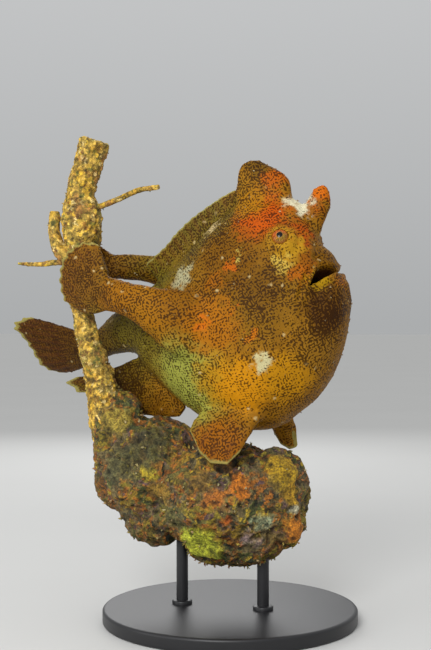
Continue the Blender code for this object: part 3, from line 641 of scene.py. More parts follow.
def gape_steps(tree):
    """The line across the mouth, and each step from corner to corner: its share and its way."""
    forward = Vector((math.cos(GAPE_PITCH), 0, math.sin(GAPE_PITCH)))
    across = Vector((-math.sin(GAPE_PITCH), 0, math.cos(GAPE_PITCH)))
    steps = []
    for k in range(GAPE_STEPS + 1):
        share = 2 * k / GAPE_STEPS - 1
        angle = share * GAPE_HALF_ANGLE
        way = forward * math.cos(angle) + Vector((0, math.sin(angle), 0))
        steps.append((abs(share), way))
    return across, steps


def gape_edge(tree, across, way, lift):
    """Where the trunk's surface lies along way, lift above the plane of the jaws."""
    start = GAPE_ROOT + across * lift
    return start, tree.ray_cast(start, way)[3]


def cut_out(target, shape):
    """shape is taken out of target."""
    cutter = object_of("cutter", [shape])
    cut = target.modifiers.new("cut", "BOOLEAN")
    cut.operation = "DIFFERENCE"
    cut.solver = "MANIFOLD"
    cut.object = cutter
    baked(target)
    bpy.data.objects.remove(cutter)


FIN_ROWS = 30
FIN_FINE = 10


def fin_sheet(roots, mids, tips, rays, root_half, edge_half, ridge, notch, sink):
    """A rayed fin as points and faces, and its middle sheet with how far out and how near a ray.

    The membrane is drawn tight between the ray tips, and the rays swell both of its faces.
    """
    columns = rays * FIN_FINE + 1
    lists = [smooth_rows(points, columns) for points in (roots, mids, tips)]
    at = np.arange(columns)
    ends = np.arange(rays) * FIN_FINE + FIN_FINE // 2
    inner = (at >= ends[0]) & (at <= ends[-1])
    for i in range(3):
        lists[2][inner, i] = np.interp(at[inner], ends, lists[2][ends, i])
    on_ray = (0.5 - 0.5 * np.cos(2 * np.pi * at / FIN_FINE)) ** 1.3
    steps = np.concatenate([np.linspace(-sink, 0, 4)[:-1], np.linspace(0, 1, FIN_ROWS)])
    grid = np.zeros((len(steps), columns, 3))
    for j, v in enumerate(steps):
        reach = v * (1 - notch * (1 - on_ray) * max(v, 0) ** 2)[:, None]
        grid[j] = (1 - reach) ** 2 * lists[0] + 2 * reach * (1 - reach) * lists[1] + reach**2 * lists[2]
    normal = np.cross(np.gradient(grid, axis=1), np.gradient(grid, axis=0))
    normal /= np.linalg.norm(normal, axis=2, keepdims=True)
    share = np.clip(steps, 0, 1)[:, None]
    half = root_half + (edge_half - root_half) * share**0.8 + ridge * (1 - 0.65 * share) * on_ray[None, :]
    rows = len(steps)
    number = np.arange(rows * columns).reshape(rows, columns)
    points = np.concatenate(
        [(grid + sign * normal * half[:, :, None]).reshape(-1, 3) for sign in (1, -1)]
    )
    faces = []
    for low in (0, rows * columns):
        for j in range(rows - 1):
            for k in range(columns - 1):
                a, b = number[j, k] + low, number[j, k + 1] + low
                c, d = number[j + 1, k + 1] + low, number[j + 1, k] + low
                faces.append((a, b, c, d))
    rim = [*number[0], *number[1:-1, -1], *number[-1][::-1], *number[-2:0:-1, 0]]
    for a, b in zip(rim, rim[1:] + rim[:1]):
        faces.append((a, a + rows * columns, b + rows * columns, b))
    sheet = (grid.reshape(-1, 3), np.repeat(steps, columns), np.tile(on_ray, rows))
    return (points, faces), sheet


def between(a, b, move):
    return [tuple((p[i] + q[i]) / 2 + move[i] for i in range(3)) for p, q in zip(a, b)]


# The fins' first and last rays: where they root, bend and end, then the number of rays, the half
# thickness at root and edge, the ray's swelling, the notch between ray tips and the sunk root.
dorsal_roots = [(6, 0, 350), (-14, 0, 331), (-30, 2, 313), (-46, 5, 297), (-66, 10, 284)]
dorsal_tips = [(4, 0, 365), (-23, 2, 351), (-46, 6, 335), (-62, 10, 320), (-82, 14, 304)]
pelvic_roots = [(-13, -26, 182), (0, -31, 178), (14, -33, 177), (28, -30, 178), (40, -25, 180)]
pelvic_tips = [(-21, -42, 164), (-18, -49, 148), (-4, -53, 139), (15, -53, 140), (25, -46, 152)]
# The right pelvic fin ends in three nearly straight edges.
pelvic_margin = [
    (-21, -42, 164), (-13, -47, 152.5), (-6, -51, 141.5), (5, -53, 139), (16, -53, 139.5),
    (21, -50, 146), (26, -46, 154),
]
left_pelvic_roots = [(24, 18, 174), (32, 22, 173), (40, 24, 175), (47, 23, 180)]
left_pelvic_tips = [(30, 32, 158), (39, 38, 144), (46, 42, 143), (47, 36, 158)]
FINS = {
    "dorsal": (
        dorsal_roots, between(dorsal_roots, dorsal_tips, (3, 0, 1)), dorsal_tips,
        13, 3.2, 0.8, 0.6, 0.02, 0.3,
    ),
    "anal": (
        [(-36, 2, 191), (-51, 4, 199), (-65, 7, 209), (-82, 13, 226)],
        [(-44, 6, 176), (-72, 13, 176), (-104, 20, 192), (-122, 21, 205)],
        [
            (-49, 9, 171), (-88, 19, 171), (-143, 25, 190), (-158, 28, 190), (-167, 29, 196),
            (-158, 28, 203),
        ],
        8, 3.4, 0.8, 0.9, 0.03, 0.2,
    ),
    "caudal": (
        [(-137, 33, 238), (-139, 34, 234), (-140, 34.5, 229), (-140, 35, 224), (-138, 35, 220)],
        [
            (-168, 37, 249), (-178, 39, 246), (-180, 42, 236), (-178, 46, 226), (-170, 48, 215),
            (-160, 49, 208),
        ],
        [(-212, 44, 258.5), (-231, 47, 250.5), (-220, 51, 238), (-213, 56, 224), (-206, 60, 211.5),
         (-184, 62, 206.5)],
        9, 3.2, 0.9, 1.0, 0.025, 0.12,
    ),
    "pelvic_right": (
        pelvic_roots, between(pelvic_roots, pelvic_tips, (0, -7, 3)), pelvic_margin,
        5, 5.2, 0.8, 0.8, 0.0, 0.35,
    ),
    "pelvic_left": (
        left_pelvic_roots, between(left_pelvic_roots, left_pelvic_tips, (0, 5, 2)), left_pelvic_tips,
        5, 6.0, 1.0, 1.0, 0.0, 0.35,
    ),
    "hand_right": (
        [(-98, -33, 291), (-101, -35, 284), (-102, -35, 277), (-101, -34, 270), (-99, -33, 264)],
        [(-102, -34, 306), (-114, -32, 302), (-123, -30, 288), (-121, -30, 272), (-110, -31, 259)],
        [(-110, -27, 320), (-126, -27, 321.5), (-148, -18, 306), (-151.5, -15, 290), (-147, -16, 274),
         (-126, -22, 261.5)],
        11, 4.6, 1.1, 0.9, 0.03, 0.12,
    ),
    "hand_left": (
        [(-114, 19, 313), (-115, 20, 308), (-115, 20, 303), (-115, 20, 298), (-113, 20, 293)],
        [(-122, 16, 317), (-130, 15, 314), (-136, 14, 303), (-133, 14, 292), (-124, 15, 286)],
        [(-132, 11, 327), (-149, 5, 321), (-152, 2, 303), (-148, 3, 285), (-133, 8, 278)],
        11, 4.2, 1.1, 0.9, 0.03, 0.12,
    ),
}

trunk_points, trunk_faces = trunk_shape(120, 96)
side_tree = surface_tree(trunk_points, trunk_faces)
across, steps = gape_steps(side_tree)
flesh = [(trunk_points, trunk_faces)]
for way_up in (1, -1):
    rows = []
    for share, way in steps:
        radius = LIP_RADIUS * (1 - 0.45 * share**2)
        upper, lower = gape_lifts(share)
        lift = upper + radius * 0.8 if way_up > 0 else lower - radius * 0.6
        start, reach = gape_edge(side_tree, across, way, lift)
        rows.append((*(start + way * (reach - radius * (0.9 - 0.55 * share))), radius))
    flesh.append(tube(rows, 90, 24, across))
wedge = []
lip_at = []
for share, way in steps:
    upper, lower = gape_lifts(share)
    start, reach = gape_edge(side_tree, across, way, (upper + lower) / 2)
    lip_at.append(reach)
    inner, outer = GAPE_ROOT + way * reach * 0.5, GAPE_ROOT + way * (reach + 14)
    top, bottom = across * (upper + 0.15) * 1.2, across * (lower - 0.15) * 1.2
    wedge.append([inner + top * 0.4, outer + top, outer + bottom, inner + bottom * 0.4])
pits = [lofted(wedge), ellipsoid((72, 0, 280), (17, 18, 7))]
eyes = {}
for side, word in ((-1, "right"), (1, "left")):
    spot, out = hit_from_side(side_tree, *EYE_SPOT, side)
    flesh.append(set_on(ellipsoid((0, 0, 0), (14, 14, 4.2)), spot - out * 1.2, out))
    orbit = [(7.6 * math.cos(a), 7.6 * math.sin(a), 0, 1.7) for a in np.linspace(0, 2 * np.pi, 72)]
    flesh.append(set_on(tube(orbit, 72, 16, (0, 0, 1)), spot + out * 1.6, out))
    centre = spot + out * (EYE_STANDS_OUT - EYE_RADIUS)
    eyes[word] = (centre, out)
    pits.append(ellipsoid(centre, (EYE_RADIUS + 0.2,) * 3))
    for x, z, radius in NOSTRILS:
        spot, out = hit_from_side(side_tree, x, z, side)
        rim = [(radius * 1.5, -2), (radius * 1.2, 0), (radius * 0.85, 1.8), (radius * 0.6, 2.3)]
        flesh.append(set_on(turned(rim, sides=24), spot, out))
        pits.append(set_on(turned([(radius * 0.3, -1.5), (radius * 0.45, 3.5)], sides=16), spot, out))
    x, z, radius = GILL_PORE
    spot, out = hit_from_side(side_tree, x, z, side)
    rim = [(radius * 1.6, -2), (radius * 1.3, 0.3), (radius * 0.95, 2.2), (radius * 0.7, 2.8)]
    flesh.append(set_on(turned(rim, sides=32), spot, out))
    pits.append(set_on(turned([(radius * 0.3, -3), (radius * 0.6, 4)], sides=24), spot, out))

body = object_of("frogfish_skin", flesh)
grown_together(body, SKIN_VOXEL)
for pit in pits:
    cut_out(body, pit)

limbs = [
    limb(ARM_RIGHT, 70, 56),
    limb(ARM_LEFT, 70, 56),
    spine_lobe(SPINE_SECOND, math.radians(-29), 60, 48),
    spine_lobe(SPINE_THIRD, math.radians(-6), 60, 56),
]
sheets = []
for name, sizes in FINS.items():
    shape, sheet = fin_sheet(*sizes)
    limbs.append(shape)
    sheets.append(sheet)
trunk_tree = surface_tree(points_of(body.data), [tuple(p.vertices) for p in body.data.polygons])
limb_trees = [surface_tree(*shape) for shape in limbs]
# How wide each limb's root is drawn into the trunk, in the order the limbs are built.
FILLETS = [9, 9, 8, 9, 5, 6, 6, 15, 12, 5, 5]
whole = object_of("limbs", limbs)
for other in bpy.context.selected_objects:
    other.select_set(False)
for target in (body, whole):
    target.select_set(True)
bpy.context.view_layer.objects.active = body
bpy.ops.object.join()
grown_together(body, SKIN_VOXEL)


def span_to(tree, points, most):
    """How far each point is from the tree's surface, up to most."""
    spans = [tree.find_nearest(Vector(p), most)[3] for p in points]
    return np.array([most if span is None else span for span in spans])


# Where a limb grows out of the trunk the skin is drawn into a fillet, and at the wrists too.
spots = points_of(body.data)
drawn_in = np.zeros(len(spots))
to_trunk = span_to(trunk_tree, spots, 15.0)
wrists = [(limb_trees[0], limb_trees[9], 6), (limb_trees[1], limb_trees[10], 6)]
for one, shape, reach in [(None, t, r) for t, r in zip(limb_trees, FILLETS)] + wrists:
    close = np.nonzero(to_trunk < reach)[0] if one is None else np.arange(len(spots))
    spans = span_to(shape, spots[close], reach)
    others = to_trunk[close] if one is None else span_to(one, spots[close], reach)
    share = np.clip(1 - np.maximum(spans, others) / reach, 0, 1) ** 0.5
    drawn_in[close] = np.maximum(drawn_in[close], share * min(1.0, reach / 9))
for centre, out in eyes.values():
    off = np.linalg.norm(spots - np.array(centre), axis=1)
    drawn_in = np.maximum(drawn_in, np.clip((off - 9.5) / 2, 0, 1) * np.clip((24 - off) / 5, 0, 1) * 0.8)
relaxed(body.data, 110, drawn_in)
relaxed(body.data, 3)


def near_line(points, line, reach):
    """How far each point is from a line through the given spots, up to reach."""
    line = np.array(line, float)
    best = np.full(len(points), float(reach))
    for a, b in zip(line, line[1:]):
        low, high = np.minimum(a, b) - reach, np.maximum(a, b) + reach
        inside = np.all((points > low) & (points < high), axis=1)
        part = points[inside] - a
        along = np.clip(part @ (b - a) / ((b - a) @ (b - a)), 0, 1)
        best[inside] = np.minimum(best[inside], np.linalg.norm(part - along[:, None] * (b - a), axis=1))
    return best


# Folds of the loose skin on the right side: spots along each, half width and depth. The left
# side has the same folds.
FOLDS = [
    ([(90, -16, 309), (84, -25, 303), (76, -34, 293), (71, -38, 281), (70, -41, 272)], 1.8, 1.5),
    ([(72, -40, 278), (76, -38, 268), (80, -36, 256), (81, -35, 244)], 2.0, 0.9),
    ([(42, -42, 322), (40, -43, 312), (45, -44, 304), (54, -42, 300)], 2.4, 0.8),
    ([(30, -42, 304), (22, -43, 296), (12, -45, 289), (2, -46, 284)], 2.6, 0.9),
    ([(-30, -36, 292), (-18, -42, 288), (-4, -45, 286), (8, -46, 291)], 2.4, 0.8),
    ([(-8, -52, 222), (4, -52, 215), (16, -50, 204), (24, -46, 192)], 2.6, 0.8),
    ([(-66, -22, 240), (-60, -26, 232), (-56, -28, 222)], 1.6, 0.9),
    ([(-72, -18, 242), (-67, -21, 232), (-63, -23, 221)], 1.5, 0.9),
    ([(-78, -14, 243), (-74, -16, 234), (-71, -18, 224)], 1.4, 0.8),
    ([(88, -25, 276), (90, -24, 262), (89, -26, 248)], 2.0, 0.6),
    ([(94, -18, 276), (96, -17, 262), (95, -18, 246)], 1.8, 0.6),
    ([(60, -38, 222), (66, -36, 212), (68, -33, 202)], 2.4, 0.7),
]
spots, outward = points_of(body.data), normals_of(body.data)
mirror = spots * [1, -1, 1]
push = np.zeros(len(spots))
for line, width, depth in FOLDS:
    for points in (spots, mirror):
        off = near_line(points, line, width * 4) / width
        push -= depth * np.exp(-(off**2)) - 0.45 * depth * np.exp(-((off - 2.2) ** 2))

# Warts: low soft domes a few millimetres wide, strewn at random over the skin.
dice = np.random.default_rng(17)
chosen = dice.choice(len(spots), 1500, replace=False)
wart_tree = kdtree.KDTree(len(chosen))
for index, vertex in enumerate(chosen):
    wart_tree.insert(Vector(spots[vertex]), index)
wart_tree.balance()
wart_reach = dice.uniform(0.9, 2.1, len(chosen))
found = [wart_tree.find(Vector(p)) for p in spots]
which = np.array([f[1] for f in found])
off = np.array([f[2] for f in found]) / wart_reach[which]
push += wart_reach[which] * 0.32 * np.clip(1 - off**2, 0, 1) ** 1.5
push += (
    0.55 * rough_at(spots, 16.0) + 0.28 * rough_at(spots, 6.0, (4, 4, 4)) + 0.12 * rough_at(spots, 2.2)
)
moved(body.data, spots + outward * push[:, None])

thin_out = body.modifiers.new("thin_out", "DECIMATE")
thin_out.ratio = SKIN_TRIANGLES / (2 * len(body.data.polygons))
baked(body)

# What the markings follow: how far out on a fin a point lies, and how near to a ray.
spots = points_of(body.data)
reach_out, on_ray = np.zeros(len(spots)), np.zeros(len(spots))
for grid, far, ray in sheets:
    low, high = grid.min(axis=0) - 4, grid.max(axis=0) + 4
    inside = np.nonzero(np.all((spots > low) & (spots < high), axis=1))[0]
    tree = kdtree.KDTree(len(grid))
    for index, spot in enumerate(grid):
        tree.insert(Vector(spot), index)
    tree.balance()
    for vertex in inside:
        _, index, off = tree.find(Vector(spots[vertex]))
        fade = 1 - max(0.0, off - 2.5) / 2.0
        if fade > 0 and far[index] * fade > reach_out[vertex]:
            reach_out[vertex] = far[index] * fade
            on_ray[vertex] = ray[index] * min(fade, 1)
kept(body.data, "reach", reach_out)
kept(body.data, "ray", on_ray)

# Where the netting closes up and the skin is darker, and where it opens: centre, reach, amount.
DUSKS = [
    ((92, 26, 268), 26, 1.0),
    ((89, 30, 250), 18, 0.7),
    ((45, 47, 276), 22, 0.6),
    ((-125, 25, 290), 34, 0.7),
    ((-80, 44, 272), 30, 0.35),
    ((-190, 45, 232), 50, 0.9),
    # Painted shade: the netting closes up over the anal fin for the shadow it lies in under the body.
    ((-120, 20, 190), 50, 1.0),
    ((-80, 10, 240), 45, 0.3),
    ((-20, 15, 345), 45, 0.5),
    ((30, 8, 384), 16, 0.6),
    ((5, 52, 150), 16, 0.6),
    ((62, 4, 348), 16, -1.6),
    ((60, 33, 308), 12, -0.5),
    ((25, 46, 202), 28, -0.6),
    ((84, 24, 286), 8, -1.2),
    ((82, 4, 361), 8, -1.0),
    ((42, 49, 220), 9, -0.9),
    ((-36, 28, 292), 12, -0.8),
    ((-13, 14, 332), 10, -0.8),
]
dusk = np.zeros(len(spots))
for centre, reach, amount in DUSKS:
    off = np.linalg.norm(spots * [1, 0, 1] + [0, 1, 0] * np.abs(spots[:, 1:2]) - centre, axis=1)
    dusk += amount * np.clip(1.3 - off / reach, 0, 1)
kept(body.data, "dusk", dusk)

# Painted shade in the mouth: the lining behind the lips, between the jaws, is painted dark brown.
forward = np.array((math.cos(GAPE_PITCH), 0, math.sin(GAPE_PITCH)))
along = (spots - np.array(GAPE_ROOT)) @ forward
height = (spots - np.array(GAPE_ROOT)) @ np.array(across)
angles = np.degrees(np.arctan2(spots[:, 1], along))
turns = np.degrees(np.linspace(-GAPE_HALF_ANGLE, GAPE_HALF_ANGLE, GAPE_STEPS + 1))
tops = np.interp(angles, turns, [gape_lifts(step[0])[0] for step in steps])
deep = np.clip((np.interp(angles, turns, lip_at) - 2.0 - np.hypot(along, spots[:, 1])) / 4, 0, 1)
kept(body.data, "mouth", deep * (height < tops + 4) * (height > -5) * (np.abs(angles) < 74))
body.data.transform(Matrix.Scale(MM, 4))

# Skin: slack, scaleless and set all over with tiny spinules, so it is matt with a damp sheen.
# Ochre, closely netted with dark brown spots about 2 mm wide, and blotched orange, olive and
# cream as sponges are.
skin, tree, shader = new_material("spinulose_skin", Roughness=0.5)
shader.inputs["Specular IOR Level"].default_value = 0.08
place = node(tree, "ShaderNodeTexCoord").outputs["Object"]
# The patches lie alike on both flanks, so the sideways distance from the midline is used.
axes = node(tree, "ShaderNodeSeparateXYZ", {0: place})
aside = node(tree, "ShaderNodeMath", {0: axes.outputs[1]}, operation="ABSOLUTE")
alike = node(tree, "ShaderNodeCombineXYZ", {0: axes.outputs[0], 1: aside.outputs[0], 2: axes.outputs[2]})
stir = node(
    tree, "ShaderNodeTexNoise", {"Vector": place, "Scale": 120.0, "Detail": 3.0, "Roughness": 0.6}
)
push = node(
    tree, "ShaderNodeVectorMath", {0: stir.outputs["Color"], 1: (0.5, 0.5, 0.5)}, operation="SUBTRACT"
)
wander = node(tree, "ShaderNodeVectorMath", {0: push.outputs[0], "Scale": 0.03}, operation="SCALE")
drawn = node(
    tree, "ShaderNodeVectorMath", {0: alike.outputs[0], 1: wander.outputs[0]}, operation="ADD"
).outputs[0]
base = node(tree, "ShaderNodeTexNoise", {"Vector": place, "Scale": 60.0, "Detail": 4.0, "Roughness": 0.6})
base = node(tree, "ShaderNodeMapRange", {0: base.outputs[0], 1: 0.38, 2: 0.62})
colour = node(
    tree,
    "ShaderNodeMix",
    {0: base.outputs[0], 6: hex_colour("#865a10"), 7: hex_colour("#996a15")},
    data_type="RGBA",
).outputs[2]
# Centre, reach and colour of each patch, the broad ones first.
SKIN_PATCHES = [
    # Partly painted shade: the rear body's own olive, darkened for the shade that it lies in.
    ((-75, 15, 262), 55, "#70661e"),
    ((-30, 22, 345), 42, "#695c1f"),
    ((-25, 38, 205), 34, "#949940"),
    ((-50, 46, 268), 30, "#9a6309"),
    ((-85, 45, 272), 24, "#945d0a"),
    ((40, 46, 270), 34, "#7c560b"),
    ((10, 40, 305), 32, "#744b08"),
    ((-25, 50, 268), 20, "#855508"),
    ((0, 48, 250), 22, "#a46308"),
    ((5, 44, 205), 22, "#aa7d12"),
    ((25, 46, 202), 22, "#c8850a"),
    ((62, 40, 208), 22, "#b67e0a"),
    ((84, 30, 232), 20, "#8e6418"),
    ((88, 26, 262), 20, "#56360c"),
    ((40, 45, 280), 16, "#6d4908"),
    ((34, 24, 342), 22, "#bc4d05"),
    ((22, 16, 352), 14, "#a06d0c"),
    ((70, 26, 326), 12, "#aa4808"),
    ((60, 32, 314), 13, "#b6881c"),
    ((56, 36, 300), 8, "#c4a442"),
    ((70, 36, 292), 9, "#a7590a"),
    ((73, 30, 303), 8, "#8c4f0a"),
    ((86, 16, 304), 11, "#764e04"),
    ((74, 6, 350), 12, "#8f5309"),
    ((81, 4, 360), 10, "#cb6407"),
    ((30, 8, 384), 13, "#6e4e0e"),
    ((40, 8, 372), 10, "#b15608"),
    ((62, 4, 348), 11, "#e0dab8"),
    ((97, 10, 285), 8, "#a5600a"),
    ((83, 28, 285), 8, "#a6800a"),
    ((-36, 28, 292), 11, "#b3ae86"),
    ((-13, 14, 332), 8, "#c6ae78"),
    ((42, 49, 220), 7, "#c8c090"),
    ((22, 40, 306), 4, "#c5b053"),
    ((12, 44, 300), 6, "#b85a08"),
    ((-8, 48, 250), 6, "#c46608"),
    ((20, 46, 262), 6, "#b85808"),
    ((34, 46, 242), 6, "#c46c0a"),
    ((-2, 44, 286), 7, "#9a5a08"),
    ((5, 48, 152), 22, "#925507"),
    ((-125, 30, 290), 30, "#784f13"),
    ((-190, 45, 232), 45, "#4e3105"),
    # Painted shade: the anal fin's patch is dark for the shadow it lies in under the body.
    ((-130, 20, 190), 45, "#59460b"),
]
for centre, reach, shade in SKIN_PATCHES:
    colour = patch(tree, colour, drawn, centre, reach, shade, 0.45, 0.9)

# The dark netting: waves of one length that cross at many angles, cut off at a level, leave
# round spots where the level is high and a maze of bars where it is low, 2.9 mm apart.
jolt = node(tree, "ShaderNodeTexNoise", {"Vector": place, "Scale": 160.0, "Detail": 2.0})
push = node(
    tree, "ShaderNodeVectorMath", {0: jolt.outputs["Color"], 1: (0.5, 0.5, 0.5)}, operation="SUBTRACT"
)
jolted = node(tree, "ShaderNodeVectorMath", {0: push.outputs[0], "Scale": 0.006}, operation="SCALE")
jolted = node(tree, "ShaderNodeVectorMath", {0: place, 1: jolted.outputs[0]}, operation="ADD").outputs[0]
total = 0.0
for spin in ((0.3, 0.9, 0.2), (1.1, 0.4, 1.7), (2.0, 1.3, 0.6), (0.7, 2.2, 2.6)):
    spun = node(
        tree,
        "ShaderNodeMapping",
        {"Vector": jolted, "Location": spin, "Rotation": spin, "Scale": (2700.0, 2700.0, 2700.0)},
    )
    wave = node(tree, "ShaderNodeVectorMath", {0: spun.outputs[0]}, operation="SINE")
    wave = node(
        tree, "ShaderNodeVectorMath", {0: wave.outputs[0], 1: (0.4, 0.4, 0.4)}, operation="DOT_PRODUCT"
    )
    total = node(tree, "ShaderNodeMath", {0: wave.outputs["Value"], 1: total}, operation="ADD").outputs[0]
broad = node(
    tree, "ShaderNodeTexNoise", {"Vector": place, "Scale": 55.0, "Detail": 3.0, "Roughness": 0.6}
)
level = node(tree, "ShaderNodeMapRange", {0: broad.outputs[0], 1: 0.35, 2: 0.65, 3: 0.85, 4: -0.1})
dusk = node(tree, "ShaderNodeAttribute", attribute_name="dusk")
level = node(tree, "ShaderNodeMath", {0: level.outputs[0], 1: dusk.outputs["Fac"]}, operation="SUBTRACT")
over = node(tree, "ShaderNodeMath", {0: total, 1: level.outputs[0]}, operation="SUBTRACT")
net = node(
    tree,
    "ShaderNodeMapRange",
    {0: over.outputs[0], 1: -0.3, 2: 0.4, 4: 0.94},
    interpolation_type="SMOOTHSTEP",
)
dark = node(tree, "ShaderNodeMix", {0: 0.86, 6: colour, 7: hex_colour("#260f02")}, data_type="RGBA")
colour = node(
    tree, "ShaderNodeMix", {0: net.outputs[0], 6: colour, 7: dark.outputs[2]}, data_type="RGBA"
).outputs[2]
# Pale flecks, few and small.
fleck = node(tree, "ShaderNodeTexVoronoi", {"Vector": jolted, "Scale": 110.0})
rare = node(tree, "ShaderNodeSeparateColor", {0: fleck.outputs["Color"]})
rare = node(tree, "ShaderNodeMapRange", {0: rare.outputs[1], 1: 0.8, 2: 0.85})
fleck = node(tree, "ShaderNodeMapRange", {0: fleck.outputs["Distance"], 1: 0.22, 2: 0.08})
fleck = node(tree, "ShaderNodeMath", {0: fleck.outputs[0], 1: rare.outputs[0]}, operation="MULTIPLY")
fleck = node(tree, "ShaderNodeMath", {0: fleck.outputs[0], 1: 0.6}, operation="MULTIPLY")
colour = node(
    tree, "ShaderNodeMix", {0: fleck.outputs[0], 6: colour, 7: hex_colour("#d2ba82")}, data_type="RGBA"
).outputs[2]
# Fins: rays red-brown, the margin a thin pale line.
far = node(tree, "ShaderNodeAttribute", attribute_name="reach")
ray = node(tree, "ShaderNodeAttribute", attribute_name="ray")
out_there = node(tree, "ShaderNodeMapRange", {0: far.outputs["Fac"], 1: 0.15, 2: 0.5})
along = node(
    tree, "ShaderNodeMath", {0: ray.outputs["Fac"], 1: out_there.outputs[0]}, operation="MULTIPLY"
)
along = node(tree, "ShaderNodeMath", {0: along.outputs[0], 1: 0.35}, operation="MULTIPLY")
colour = node(
    tree, "ShaderNodeMix", {0: along.outputs[0], 6: colour, 7: hex_colour("#5c3213")}, data_type="RGBA"
).outputs[2]
rim = node(
    tree,
    "ShaderNodeMapRange",
    {0: far.outputs["Fac"], 1: 0.92, 2: 0.985, 4: 0.75},
    interpolation_type="SMOOTHSTEP",
)
colour = node(
    tree, "ShaderNodeMix", {0: rim.outputs[0], 6: colour, 7: hex_colour("#a39a54")}, data_type="RGBA"
).outputs[2]
# Painted shade: the inside of the mouth is painted dark brown.
inside = node(tree, "ShaderNodeAttribute", attribute_name="mouth")
colour = node(
    tree,
    "ShaderNodeMix",
    {0: inside.outputs["Fac"], 6: colour, 7: hex_colour("#3a200c")},
    data_type="RGBA",
).outputs[2]
tree.links.new(colour, shader.inputs["Base Color"])
spinules = node(tree, "ShaderNodeTexVoronoi", {"Vector": place, "Scale": 1150.0})
spinules = node(tree, "ShaderNodeMath", {0: 1.0, 1: spinules.outputs["Distance"]}, operation="SUBTRACT")
grit = node(
    tree, "ShaderNodeTexNoise", {"Vector": place, "Scale": 700.0, "Detail": 4.0, "Roughness": 0.6}
)
height = node(
    tree, "ShaderNodeMath", {0: spinules.outputs[0], 1: 0.6, 2: grit.outputs[0]}, operation="MULTIPLY_ADD"
)
bump = node(tree, "ShaderNodeBump", {"Height": height.outputs[0], "Distance": 0.0005, "Strength": 0.75})
tree.links.new(bump.outputs[0], shader.inputs["Normal"])
sheen = node(tree, "ShaderNodeMapRange", {0: grit.outputs[0], 1: 0.35, 2: 0.65, 3: 0.4, 4: 0.6})
tree.links.new(sheen.outputs[0], shader.inputs["Roughness"])
dressed(body, skin)
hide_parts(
    "head", "lower_jaw", "torso", "tail_peduncle", "dorsal_spine_2", "dorsal_spine_3",
    "arm_right", "arm_left", "hand_right", "hand_left", "dorsal_fin", "anal_fin", "caudal_fin",
    "pelvic_fin_right", "pelvic_fin_left",
)


# Eyes: small balls set deep in thick orbit rims, with no lids. The iris is coloured and rayed like
# the skin round it, which hides the eye; the pupil is small and the cornea is wet.
def eye_ball(centre, out):
    """An eye's points and faces, drawn round the origin with the cornea along +Z."""
    rings = []
    for lift in np.linspace(-np.pi / 2, np.pi / 2, 66)[1:-1]:
        angles = np.linspace(0, 2 * np.pi, 96, endpoint=False)
        radius = EYE_RADIUS + 0.35 * np.exp(-(((np.pi / 2 - lift) / 0.5) ** 2))
        flat = math.cos(lift)
        ring = np.stack([np.cos(angles) * flat, np.sin(angles) * flat, np.full(96, math.sin(lift))], 1)
        rings.append(ring * radius)
    points, faces = lofted(rings)
    points[-2:] = [[0, 0, -EYE_RADIUS], [0, 0, EYE_RADIUS + 0.35]]
    return points, faces


eye_skin, tree, shader = new_material("wet_cornea_over_iris", Roughness=0.5)
shader.inputs["Specular IOR Level"].default_value = 0.1
shader.inputs["Coat Weight"].default_value = 0.35
shader.inputs["Coat Roughness"].default_value = 0.05
gaze = node(tree, "ShaderNodeAttribute", attribute_name="gaze")
axes = node(tree, "ShaderNodeSeparateXYZ", {0: gaze.outputs["Vector"]})
flat = node(tree, "ShaderNodeCombineXYZ", {0: axes.outputs[0], 1: axes.outputs[1]})
off_axis = node(tree, "ShaderNodeVectorMath", {0: flat.outputs[0]}, operation="LENGTH")
turn = node(tree, "ShaderNodeMath", {0: axes.outputs[1], 1: axes.outputs[0]}, operation="ARCTAN2")
wobble = node(
    tree, "ShaderNodeTexNoise", {"Vector": gaze.outputs["Vector"], "Scale": 0.45, "Detail": 3.0}
)
spokes = node(
    tree, "ShaderNodeMath", {0: wobble.outputs[0], 1: 1.6, 2: turn.outputs[0]}, operation="MULTIPLY_ADD"
)
spokes = node(tree, "ShaderNodeMath", {0: spokes.outputs[0], 1: 15.0}, operation="MULTIPLY")
spokes = node(tree, "ShaderNodeMath", {0: spokes.outputs[0]}, operation="SINE")
spoke = node(tree, "ShaderNodeMapRange", {0: spokes.outputs[0], 1: -0.15, 2: 0.4, 4: 0.9})
sector = node(
    tree, "ShaderNodeVectorMath", {0: gaze.outputs["Vector"], 1: (0.5, 0.85, 0)}, operation="DOT_PRODUCT"
)
sector = node(tree, "ShaderNodeMapRange", {0: sector.outputs["Value"], 1: -2.5, 2: 1.5})
iris = node(
    tree,
    "ShaderNodeMix",
    {0: sector.outputs[0], 6: hex_colour("#a07c24"), 7: hex_colour("#d8640c")},
    data_type="RGBA",
)
iris = node(
    tree,
    "ShaderNodeMix",
    {0: spoke.outputs[0], 6: iris.outputs[2], 7: hex_colour("#4a2208")},
    data_type="RGBA",
)
outer = node(tree, "ShaderNodeMapRange", {0: off_axis.outputs["Value"], 1: 4.6, 2: 5.4, 4: 0.6})
iris = node(
    tree,
    "ShaderNodeMix",
    {0: outer.outputs[0], 6: iris.outputs[2], 7: hex_colour("#96561a")},
    data_type="RGBA",
)
ring = node(tree, "ShaderNodeMapRange", {0: off_axis.outputs["Value"], 1: 3.3, 2: 2.9, 4: 0.6})
iris = node(
    tree,
    "ShaderNodeMix",
    {0: ring.outputs[0], 6: iris.outputs[2], 7: hex_colour("#9c7c34")},
    data_type="RGBA",
)
pupil = node(tree, "ShaderNodeMapRange", {0: off_axis.outputs["Value"], 1: 2.6, 2: 2.3})
iris = node(
    tree,
    "ShaderNodeMix",
    {0: pupil.outputs[0], 6: iris.outputs[2], 7: hex_colour("#060506")},
    data_type="RGBA",
)
tree.links.new(iris.outputs[2], shader.inputs["Base Color"])
